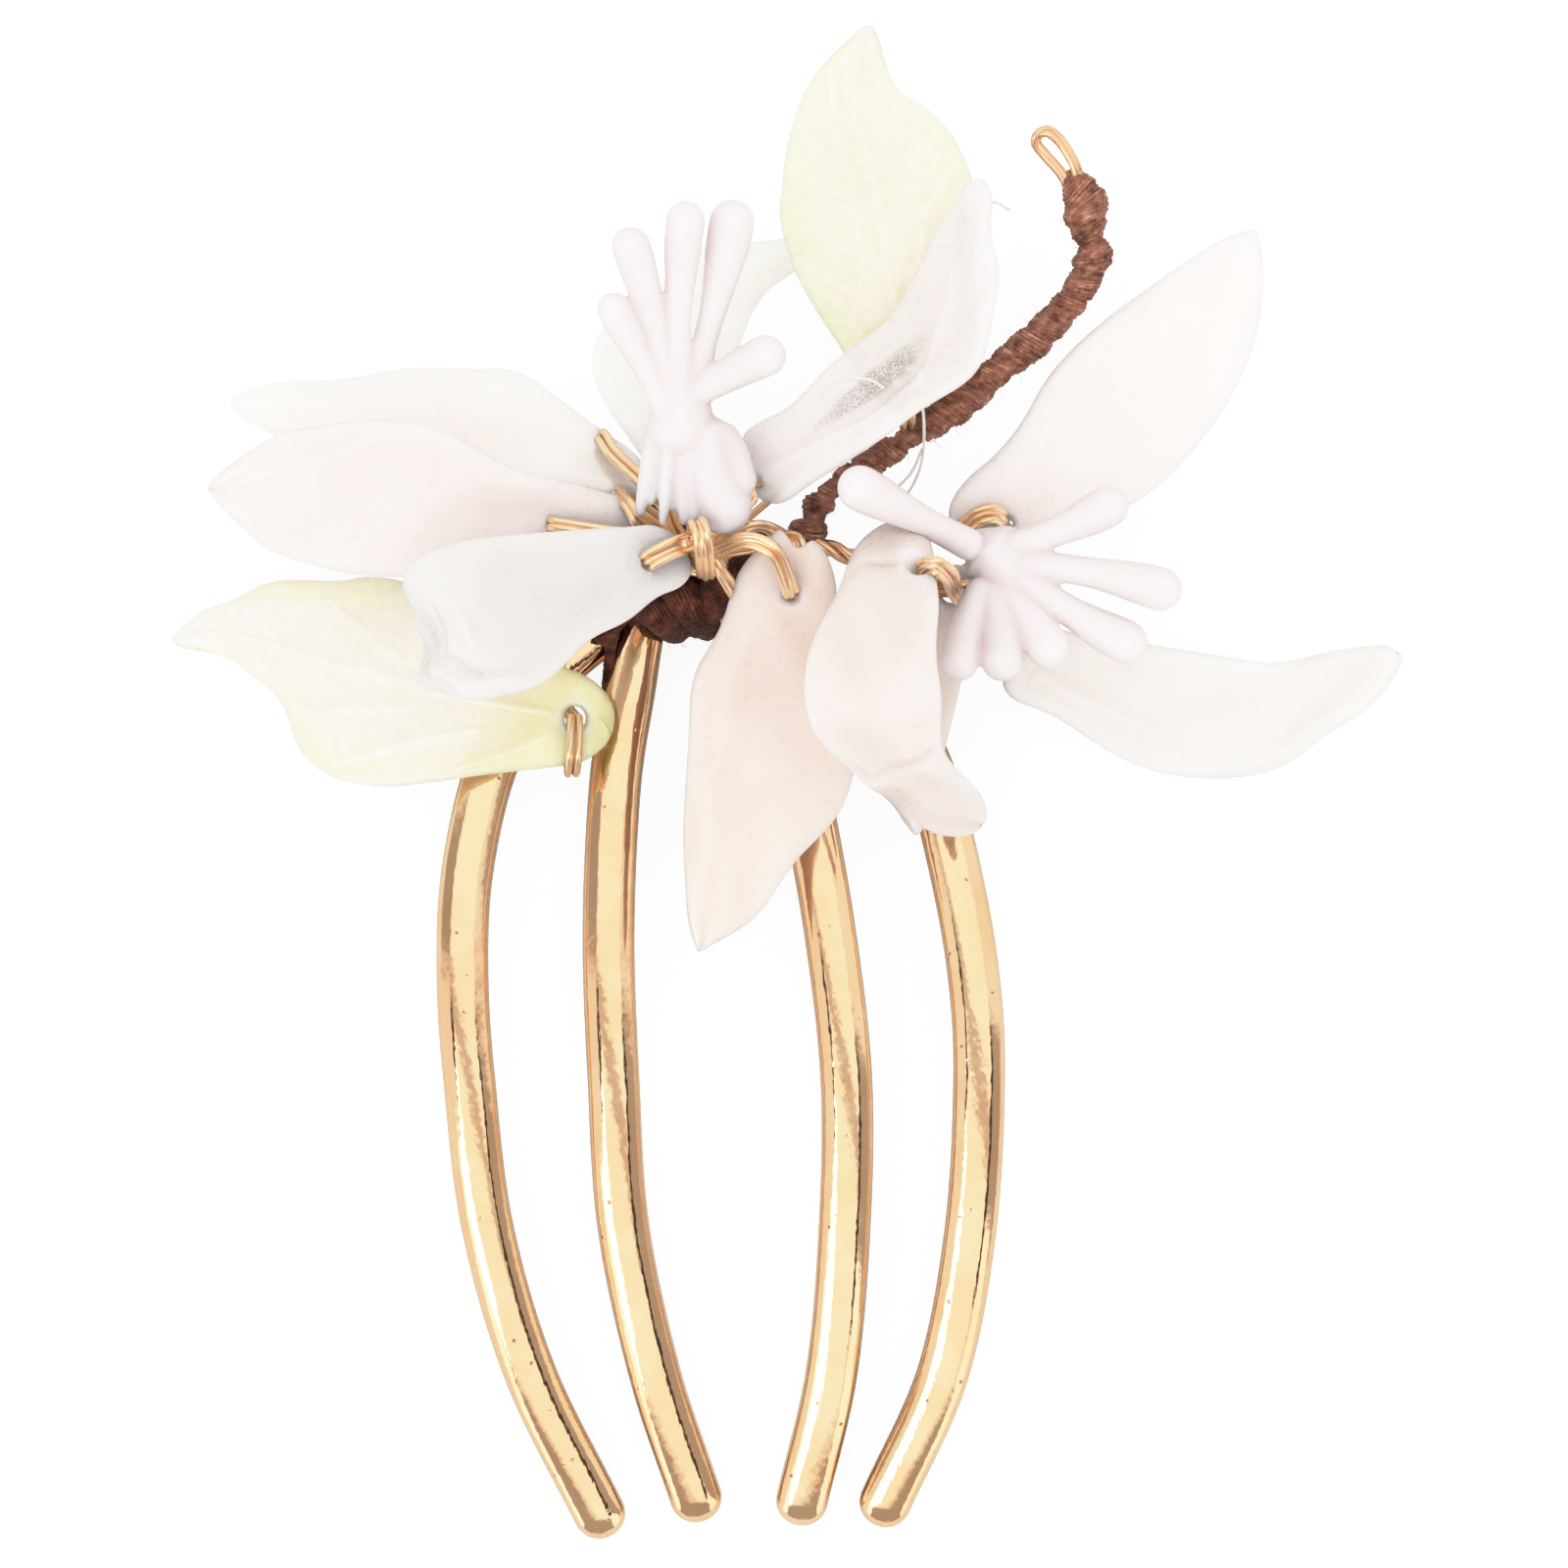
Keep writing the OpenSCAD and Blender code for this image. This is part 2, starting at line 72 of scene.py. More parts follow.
def unit(v: Array) -> Array:
    """Vectors scaled to length one."""
    return v / np.maximum(np.linalg.norm(v, axis=-1, keepdims=True), 1e-12)


def mix(a: float, b: float, t: Array) -> Array:
    """Value at share t of the way from a to b."""
    return a + (b - a) * t


def smooth_step(x: Array) -> Array:
    """Soft step from 0 to 1 while x goes from 0 to 1."""
    x = np.clip(x, 0, 1)
    return x * x * (3 - 2 * x)


class Curve:
    """Smooth curve through a few points, by the rule that the part's source uses."""

    def __init__(self, points: Sequence[Number3]) -> None:
        """Keep the points, with a mirrored one past each end.

        Args:
            points: the points that the curve goes through.
        """
        p = np.asarray(points, float)
        self.points = p
        self.padded = np.vstack([2 * p[0] - p[1], p, 2 * p[-1] - p[-2]])

    def at(self, t: Array) -> Array:
        """Points of the curve.

        Args:
            t: places along the curve, from 0 to 1.

        Returns:
            One point for each place.
        """
        last = len(self.points) - 1
        s = np.clip(np.asarray(t, float), 0, 1) * last
        i = np.minimum(np.floor(s).astype(int), last - 1)
        f = (s - i)[..., None]
        a, b, c, d = (self.padded[i + k] for k in range(4))
        cubic = 3 * b - a - 3 * c + d
        return (2 * b + (c - a) * f + (2 * a - 5 * b + 4 * c - d) * f ** 2 + cubic * f ** 3) / 2

    def direction(self, t: Array, step: float = 0.01) -> Array:
        """Directions of the curve at the places t."""
        t = np.asarray(t, float)
        return unit(self.at(np.minimum(t + step, 1)) - self.at(np.maximum(t - step, 0)))

    def spread(self, steps: int) -> Array:
        """Points at equal steps along the curve."""
        return self.at(np.linspace(0, 1, steps + 1))

    def length(self) -> float:
        """Length of the curve."""
        return float(np.linalg.norm(np.diff(self.spread(60), axis=0), axis=1).sum())


def path_directions(path: Array) -> Array:
    """Direction at each point of a path.

    Args:
        path: points of the path.

    Returns:
        One direction for each point.
    """
    ahead = np.vstack([path[1:], path[-1:]])
    behind = np.vstack([path[:1], path[:-1]])
    return unit(ahead - behind)


def carried_normals(path: Array, first: Number3 = (0, 0, 1), start: int = 0) -> Array:
    """Cross direction at each point of a path, turning as little as it can.

    Args:
        path: points of the path.
        first: direction that the cross direction at the start keeps closest to.
        start: index of the point from which it is carried both ways.

    Returns:
        One cross direction for each point.
    """
    directions = path_directions(path)
    found = np.zeros_like(path)
    for order in (range(start, len(path)), range(start, -1, -1)):
        n = np.asarray(first, float)
        for k in order:
            n = n - directions[k] * (n @ directions[k])
            if np.linalg.norm(n) < 1e-6:
                n = np.cross(directions[k], (1.0, 0.0, 0.0))
            n = unit(n)
            found[k] = n
    return found


@dataclass(frozen=True)
class View:
    """The camera: it looks straight down on the comb, as the photo does."""

    distance: float = 1500.0
    pixel: float = 0.06
    centre: float = 800.0
    sensor: float = 36.0

    def seen(self, x: float, y: float, z: float) -> Array:
        """Place at height z of what the photo shows at pixel x, y."""
        shrink = self.pixel * (1 - z / self.distance)
        return np.array([(x - self.centre) * shrink, (self.centre - y) * shrink, z])

    def pixels(self, points: Array) -> Array:
        """Photo pixels at which points are seen.

        Args:
            points: an array whose last axis is x, y, z.

        Returns:
            The pixel x, y of each point, in the same layout.
        """
        scale = 1 / (self.pixel * (1 - points[..., 2] / self.distance))
        return np.stack(
            [self.centre + points[..., 0] * scale, self.centre - points[..., 1] * scale], axis=-1
        )

    def build(self) -> None:
        """Make the camera and set it as the scene's."""
        data = bpy.data.cameras.new("camera")
        data.sensor_width = self.sensor
        data.lens = self.sensor * self.distance / (2 * self.centre * self.pixel)
        data.clip_start = 0.1
        data.clip_end = 10
        camera = bpy.data.objects.new("camera", data)
        camera.location = (0, 0, self.distance * MM)
        bpy.context.scene.collection.objects.link(camera)
        bpy.context.scene.camera = camera


VIEW = View()


def seen_path(rows: Sequence[Number3]) -> list[Array]:
    """Points in millimetres for rows of photo pixels and heights."""
    return [VIEW.seen(*row) for row in rows]


# Meshes


class Shell:
    """Points and faces of one piece while it is made, in millimetres."""

    def __init__(self) -> None:
        """Start empty."""
        self.points: list[Array] = []
        self.faces: list[tuple[int, ...]] = []
        self.values: dict[str, list[Array]] = {}
        self.total = 0

    def add(self, points: Array, **values: Array) -> Array:
        """Add points of any layout.

        Args:
            points: an array whose last axis is x, y, z.
            values: named numbers for each point, in the same layout.

        Returns:
            The index of each point, in the same layout.
        """
        layout = points.shape[:-1]
        count = int(np.prod(layout))
        self.points.append(points.reshape(-1, 3))
        for name, numbers in values.items():
            self.values.setdefault(name, []).append(np.broadcast_to(numbers, layout).reshape(-1))
        index = np.arange(self.total, self.total + count).reshape(layout)
        self.total += count
        return index

    def net(self, index: Array, around: bool = False, flip: bool = False,
            skip: Optional[Array] = None) -> None:
        """Add the faces of a net of points.

        Args:
            index: rows of point indexes.
            around: True where each row closes on itself.
            flip: True to turn the faces over.
            skip: cells that stay open.
        """
        rows, columns = index.shape
        for i in range(rows - 1):
            for j in range(columns if around else columns - 1):
                if skip is not None and skip[i, j]:
                    continue
                k = (j + 1) % columns
                face = (index[i, j], index[i, k], index[i + 1, k], index[i + 1, j])
                self.faces.append(face[::-1] if flip else face)

    def piece(self, name: str, merge: float = 0.001) -> Piece:
        """Close the shell into an object.

        Args:
            name: the object's name.
            merge: distance under which points become one.

        Returns:
            The new object, smooth, with its faces outwards.
        """
        mesh = bpy.data.meshes.new(name)
        points = np.vstack(self.points) * MM
        mesh.from_pydata(points.tolist(), [], [tuple(int(k) for k in face) for face in self.faces])
        for label, numbers in self.values.items():
            layer = mesh.attributes.new(label, "FLOAT", "POINT")
            layer.data.foreach_set("value", np.concatenate(numbers).astype(np.float32))
        tidy_mesh(mesh, merge * MM)
        return place(mesh, name)


def tidy_mesh(mesh: Mesh, merge: float) -> None:
    """Merge double points, drop empty faces, turn all faces outwards and shade them smooth.

    Args:
        mesh: the mesh, changed in place.
        merge: distance in metres under which points become one.
    """
    work = bmesh.new()
    work.from_mesh(mesh)
    bmesh.ops.remove_doubles(work, verts=work.verts, dist=merge)
    bmesh.ops.dissolve_degenerate(work, edges=work.edges, dist=merge * 0.1)
    bmesh.ops.recalc_face_normals(work, faces=work.faces)
    for face in work.faces:
        face.smooth = True
    work.to_mesh(mesh)
    work.free()
    mesh.update()


def place(mesh: Mesh, name: str) -> Piece:
    """Put a mesh into the scene as an object at the origin.

    Args:
        mesh: the mesh.
        name: the object's name.

    Returns:
        The new object.
    """
    piece = bpy.data.objects.new(name, mesh)
    bpy.context.scene.collection.objects.link(piece)
    return piece


def settle(piece: Piece) -> Piece:
    """Turn what a piece's modifiers make into its plain mesh.

    Args:
        piece: the piece, changed in place.

    Returns:
        The same piece.
    """
    view_layer = bpy.context.view_layer
    view_layer.update()
    graph = bpy.context.evaluated_depsgraph_get()
    mesh = bpy.data.meshes.new_from_object(
        piece.evaluated_get(graph), preserve_all_data_layers=True, depsgraph=graph
    )
    piece.modifiers.clear()
    old = piece.data
    piece.data = mesh
    bpy.data.meshes.remove(old)
    mesh.name = piece.name
    return piece


def remove(piece: Piece) -> None:
    """Take a helper object out of the file.

    Args:
        piece: the helper object.
    """
    data = piece.data
    bpy.data.objects.remove(piece)
    bpy.data.meshes.remove(data)


def dress(piece: Piece, material: Material, slot: Slot, *nodes: str) -> None:
    """Give a piece its material and its body, and hide the CAD nodes that it replaces.

    Args:
        piece: the finished piece.
        material: its only material.
        slot: the record's material slot; not used.
        nodes: CAD nodes that it replaces.
    """
    piece.data.materials.clear()
    piece.data.materials.append(material)
    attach(piece, "root")
    if nodes:
        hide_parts(*nodes)
    LOG.info("%s: %d faces", piece.name, len(piece.data.polygons))


# Node trees


class Net:
    """Short calls for the nodes of one material, world or Geometry Nodes tree."""

    def __init__(self, tree: bpy.types.NodeTree) -> None:
        """Keep the tree."""
        self.tree = tree

    def put(self, socket: Socket, value: object) -> None:
        """Link a socket to an output, or set it to a value; a colour gets full cover.

        Args:
            socket: the input.
            value: an output, a number, a vector or a colour.
        """
        if isinstance(value, Socket):
            self.tree.links.new(value, socket)
        else:
            socket.default_value = (*value, 1.0) if socket.type == "RGBA" else value

    def fill(self, node: bpy.types.Node, **inputs: object) -> None:
        """Link or set inputs of a node, by their names with _ for a space.

        Args:
            node: the node.
            inputs: an output or a value for each input.
        """
        for key, value in inputs.items():
            name = key.replace("_", " ")
            self.put(next(s for s in node.inputs if s.name == name and s.enabled), value)

    def node(self, kind: str, **values: object) -> bpy.types.Node:
        """Add a node; names in small letters are its settings, names with a capital its inputs.

        Args:
            kind: the node's type.
            values: a value for each setting, and an output or a value for each input.

        Returns:
            The new node.
        """
        node = self.tree.nodes.new(kind)
        for key, value in values.items():
            if key[0].islower():
                setattr(node, key, value)
        self.fill(node, **{key: value for key, value in values.items() if key[0].isupper()})
        return node

    def math(self, kind: str, *values: object) -> Socket:
        """Result of one piece of arithmetic.

        Args:
            kind: the operation.
            values: its inputs, as outputs or numbers.

        Returns:
            The result.
        """
        node = self.node("ShaderNodeMath", operation=kind)
        for socket, value in zip(node.inputs, values):
            self.put(socket, value)
        return node.outputs[0]

    def times(self, first: object, *values: object) -> Socket:
        """Product of numbers.

        Args:
            first: the first factor, an output or a number.
            values: the other factors.

        Returns:
            The product.
        """
        for value in values:
            first = self.math("MULTIPLY", first, value)
        return first

    def vector(self, kind: str, a: object, b: object) -> Socket:
        """Result of one piece of vector arithmetic.

        Args:
            kind: the operation.
            a: its first vector.
            b: its second vector.

        Returns:
            The result.
        """
        node = self.node("ShaderNodeVectorMath", operation=kind)
        self.put(node.inputs[0], a)
        self.put(node.inputs[1], b)
        return node.outputs["Vector"]

    def object_place(self, stretch: Number3 = (1, 1, 1)) -> Socket:
        """Object coordinates in millimetres, stretched along the axes.

        Args:
            stretch: a factor for each axis.

        Returns:
            The coordinates.
        """
        source = self.node("ShaderNodeTexCoord").outputs["Object"]
        scale = [s / MM for s in stretch]
        return self.node("ShaderNodeMapping", Vector=source, Scale=scale).outputs["Vector"]

    def thread_place(self, around: float, along: float) -> Socket:
        """Coordinates around and along a thread or wire, stretched by two factors.

        Args:
            around: factor around the thread.
            along: factor along it.

        Returns:
            The coordinates.
        """
        x = self.times(self.attribute("around"), around)
        y = self.times(self.attribute("along"), along)
        return self.node("ShaderNodeCombineXYZ", X=x, Y=y).outputs[0]

    def attribute(self, name: str) -> Socket:
        """Number that the piece's own mesh holds under a name."""
        return self.node("ShaderNodeAttribute", attribute_name=name).outputs["Fac"]

    def noise(self, where: object, scale: float, detail: float = 2.0, rough: float = 0.5,
              warp: float = 0.0) -> Socket:
        """Cloudy numbers round 0.5, with a number and a strength of finer layers."""
        return self.node("ShaderNodeTexNoise", Vector=where, Scale=scale, Detail=detail, Roughness=rough,
                         Distortion=warp).outputs["Fac"]

    def cells(self, where: object, scale: float) -> Socket:
        """Distance from the middle of scattered cells."""
        return self.node("ShaderNodeTexVoronoi", Vector=where, Scale=scale).outputs["Distance"]

    def span(self, value: object, low: float, high: float, to_low: float = 0, to_high: float = 1
             ) -> Socket:
        """Soft step from one value to another while the input goes from low to high."""
        return self.node("ShaderNodeMapRange", interpolation_type="SMOOTHSTEP", Value=value, From_Min=low,
                         From_Max=high, To_Min=to_low, To_Max=to_high).outputs["Result"]

    def blend(self, share: object, a: object, b: object, kind: str = "RGBA") -> Socket:
        """Colour (or with FLOAT a number) at a share of the way from a to b."""
        node = self.node("ShaderNodeMix", data_type=kind, Factor=share, A=a, B=b)
        return next(s for s in node.outputs if s.enabled)

    def bump(self, height: object, strength: float, depth: float, normal: object = None) -> Socket:
        """Normal of a surface that rises by depth millimetres with the height.

        Args:
            height: the height, from 0 to 1.
            strength: share of the effect that is used.
            depth: rise in millimetres.
            normal: an earlier normal that it is added to.

        Returns:
            The normal.
        """
        node = self.node("ShaderNodeBump", Strength=strength, Distance=depth * MM, Height=height)
        if normal is not None:
            self.fill(node, Normal=normal)
        return node.outputs["Normal"]


class Recipe:
    """A Geometry Nodes tree with named inputs, and what applies it."""

    def __init__(self, name: str, **inputs: str) -> None:
        """Make the tree and its inputs.

        Args:
            name: the tree's name.
            inputs: the type of each input after the geometry, Float or Int.
        """
        self.tree = bpy.data.node_groups.new(name, "GeometryNodeTree")
        face = self.tree.interface
        face.new_socket(name="Geometry", in_out="INPUT", socket_type="NodeSocketGeometry")
        self.keys = {}
        for label, kind in {**inputs, "Material": "Material"}.items():
            socket = face.new_socket(name=label, in_out="INPUT", socket_type=f"NodeSocket{kind}")
            self.keys[label] = socket.identifier
        face.new_socket(name="Geometry", in_out="OUTPUT", socket_type="NodeSocketGeometry")
        self.net = Net(self.tree)
        self.given = self.net.node("NodeGroupInput").outputs
        self.result = self.net.node("NodeGroupOutput").inputs[0]

    def step(self, kind: str, output: int = 0, **values: object) -> Socket:
        """Add a geometry node, and return one of its outputs by index."""
        return self.net.node(f"GeometryNode{kind}", **values).outputs[output]

    def close(self, geometry: Socket) -> None:
        """End the tree: smooth, realized, with its material."""
        real = self.step("RealizeInstances", Geometry=self.step("SetShadeSmooth", Geometry=geometry))
        self.net.put(self.result, self.step("SetMaterial", Geometry=real, Material=self.given["Material"]))

    def mark(self, geometry: Socket, name: str, value: Socket) -> Socket:
        """Keep a number under a name at each point of a curve."""
        return self.step("StoreNamedAttribute", data_type="FLOAT", domain="POINT", Geometry=geometry,
                         Name=name, Value=value)

    def tube(self, curve: Socket, **more: object) -> Socket:
        """Run a round tube along curves, with the places along and around it kept at its points.

        Args:
            curve: the curves.
            more: further inputs of the node that makes the tube.

        Returns:
            The tubes.
        """
        curve = self.mark(curve, "along", self.step("SplineParameter", 1))
        ring = self.step("CurvePrimitiveCircle", Resolution=self.given["Sides"], Radius=self.given["Radius"])
        ring = self.mark(ring, "around", self.step("SplineParameter"))
        return self.step("CurveToMesh", Curve=curve, Profile_Curve=ring, Fill_Caps=True, **more)

    def apply(self, piece: Piece, **values: object) -> Piece:
        """Run the tree on a piece and keep what it makes as a plain mesh.

        Args:
            piece: the piece, changed in place.
            values: a value for each of the tree's inputs.

        Returns:
            The same piece.
        """
        modifier = piece.modifiers.new(self.tree.name, "NODES")
        modifier.node_group = self.tree
        for label, value in values.items():
            modifier[self.keys[label]] = value
        return settle(piece)


def tube_recipe() -> Recipe:
    """Tree that runs a round tube along every path of a mesh.

    Returns:
        The recipe.
    """
    recipe = Recipe("round_wire", Radius="Float", Sides="Int")
    recipe.close(recipe.tube(recipe.step("MeshToCurve", Mesh=recipe.given["Geometry"])))
    return recipe


def winding_recipe() -> Recipe:
    """Tree that winds strands round every path of a mesh, at the distance its points hold as core.

    Returns:
        The recipe.
    """
    recipe = Recipe("winding", Turns="Float", Strands="Int", Steps="Int", Radius="Float", Sides="Int",
                    Tilt="Float", Wobble="Float", Flatness="Float", Seed="Float")
    step, given, net = recipe.step, recipe.given, recipe.net
    curve = step("MeshToCurve", Mesh=given["Geometry"])
    curve = step("ResampleCurve", Curve=curve, Count=given["Steps"])
    copies = net.node("GeometryNodeDuplicateElements", domain="SPLINE", Geometry=curve,
                      Amount=given["Strands"]).outputs
    share = net.math("DIVIDE", copies["Duplicate Index"], given["Strands"])
    factor = step("SplineParameter")
    angle = net.times(net.math("MULTIPLY_ADD", factor, given["Turns"], share), math.tau)
    turned = net.math("MULTIPLY_ADD", factor, given["Turns"], net.times(share, 40.0))
    cloud = net.node("ShaderNodeTexNoise", noise_dimensions="4D", Vector=step("InputPosition"),
                     W=net.math("ADD", given["Seed"], turned), Scale=900, Detail=1).outputs["Fac"]
    lift = net.times(net.math("SUBTRACT", cloud, 0.5), given["Wobble"])
    radius = net.math("ADD", step("InputNamedAttribute", data_type="FLOAT", Name="core"), lift)
    normal, tangent = step("InputNormal"), step("InputTangent")
    outwards = net.times(net.math("COSINE", angle), radius)
    offset = None
    for direction, amount in (
        (normal, outwards),
        (net.vector("CROSS_PRODUCT", tangent, normal), net.times(net.math("SINE", angle), radius)),
        (tangent, net.times(outwards, given["Tilt"])),
    ):
        part = net.node("ShaderNodeVectorMath", operation="SCALE", Vector=direction, Scale=amount).outputs[0]
        offset = part if offset is None else net.vector("ADD", offset, part)
    curve = step("SetPosition", Geometry=copies["Geometry"], Offset=offset)
    even = net.math("MULTIPLY_ADD", given["Flatness"], -0.5, 1.0)
    recipe.close(recipe.tube(curve, Scale=net.math("MULTIPLY_ADD", cloud, given["Flatness"], even)))
    return recipe


def fuzz_recipe() -> Recipe:
    """Tree that grows short bent fibres on a surface and keeps only the fibres.

    Returns:
        The recipe.
    """
    recipe = Recipe("fibres", Density="Float", Length="Float", Radius="Float", Seed="Int")
    step, given, net = recipe.step, recipe.given, recipe.net
    seed, length = given["Seed"], given["Length"]
    spread = net.node("GeometryNodeDistributePointsOnFaces", Mesh=given["Geometry"],
                      Density=given["Density"], Seed=seed).outputs
    line = step("CurvePrimitiveLine", End=net.node("ShaderNodeCombineXYZ", Z=length).outputs[0])
    line = step("ResampleCurve", Curve=line, Count=6)
    factor = step("SplineParameter")
    square = net.times(factor, factor, length)
    bow = net.node("ShaderNodeCombineXYZ", X=net.times(square, 1.2), Z=net.times(square, -0.5)).outputs[0]
    line = step("SetPosition", Geometry=line, Offset=bow)
    ring = step("CurvePrimitiveCircle", Resolution=3, Radius=given["Radius"])
    fibre = step("CurveToMesh", Curve=line, Profile_Curve=ring, Fill_Caps=True)
    lean = net.node("FunctionNodeRandomValue", data_type="FLOAT_VECTOR", Min=(-0.9, -0.9, -3.1),
                    Max=(0.9, 0.9, 3.1), Seed=seed).outputs[0]
    turn = net.node("FunctionNodeRotateRotation", rotation_space="LOCAL", Rotation=spread["Rotation"],
                    Rotate_By=lean).outputs[0]
    size = net.node("FunctionNodeRandomValue", data_type="FLOAT", Min=0.4, Max=1.3, Seed=seed).outputs[1]
    placed = step("InstanceOnPoints", Points=spread["Points"], Instance=fibre, Rotation=turn, Scale=size)
    recipe.close(placed)
    return recipe


def path_object(name: str, paths: Sequence[Array], cores: Optional[Sequence[Array]] = None) -> Piece:
    """Helper object that holds paths as edges.

    Args:
        name: the object's name.
        paths: points of each path, in millimetres.
        cores: a winding distance for each point of each path.

    Returns:
        The object.
    """
    points, edges = [], []
    for path in paths:
        start = len(points)
        points.extend((np.asarray(path) * MM).tolist())
        edges.extend((k, k + 1) for k in range(start, len(points) - 1))
    mesh = bpy.data.meshes.new(name)
    mesh.from_pydata(points, edges, [])
    if cores is not None:
        layer = mesh.attributes.new("core", "FLOAT", "POINT")
        layer.data.foreach_set("value", np.concatenate(cores).astype(np.float32) * MM)
    return place(mesh, name)


# Finishes


def new_material(name: str) -> tuple[Material, Net, bpy.types.Node]:
    """Make a material, and return it with its node tree and its surface shader.

    Args:
        name: the material's name.

    Returns:
        The material, its node tree and its surface shader.
    """
    material = bpy.data.materials.new(name)
    material.use_nodes = True
    return material, Net(material.node_tree), material.node_tree.nodes["Principled BSDF"]


@dataclass(frozen=True)
class Plating:
    """Bright gold plating over a cast comb, with pits, slight ripples and a few dull spots."""

    name: str = "gold_plating"
    gold: Colour = (0.98, 0.71, 0.46)
    rose: Colour = (0.97, 0.66, 0.41)
    dull: Colour = (0.42, 0.28, 0.16)

    def build(self) -> Material:
        """Make the material.

        Returns:
            The material.
        """
        material, net, surface = new_material(self.name)
        where = net.object_place()
        cloud = net.span(net.noise(where, 0.22, 3), 0.4, 0.6)
        pits = net.span(net.cells(where, 0.9), 0.13, 0.05)
        spots = net.times(pits, net.span(net.noise(where, 0.35, 2), 0.5, 0.6))
        ripple = net.noise(net.object_place((1, 0.4, 1)), 0.7, 3, 0.6)
        normal = net.bump(ripple, 0.35, 0.12)
        normal = net.bump(net.noise(where, 4.0, 2, 0.6), 0.05, 0.03, normal)
        net.fill(surface, Base_Color=net.blend(spots, net.blend(cloud, self.gold, self.rose), self.dull),
                 Metallic=1.0, Roughness=net.span(net.noise(where, 1.6, 4, 0.6), 0.35, 0.7, 0.04, 0.11),
                 Normal=net.bump(spots, 0.5, -0.08, normal))
        return material


@dataclass(frozen=True)
class DrawnWire:
    """Drawn gold-coloured copper wire, with fine lines along it."""

    name: str = "drawn_gold_wire"
    bright: Colour = (1.0, 0.78, 0.55)
    deep: Colour = (0.98, 0.72, 0.48)

    def build(self) -> Material:
        """Make the material.

        Returns:
            The material.
        """
        material, net, surface = new_material(self.name)
        cloud = net.span(net.noise(net.object_place(), 0.3, 2), 0.35, 0.65)
        lines = net.noise(net.thread_place(12.0, 60.0), 1.2, 2)
        net.fill(surface, Base_Color=net.blend(cloud, self.bright, self.deep), Metallic=1.0,
                 Roughness=net.span(lines, 0.3, 0.7, 0.24, 0.31), Normal=net.bump(lines, 0.006, 0.004))
        return material


@dataclass(frozen=True)
class Speckle:
    """A patch of rough, glittering frost on a petal, by shares along and across it."""

    place: Pair
    reach: Pair
    strength: float
    grain: float = 9.0


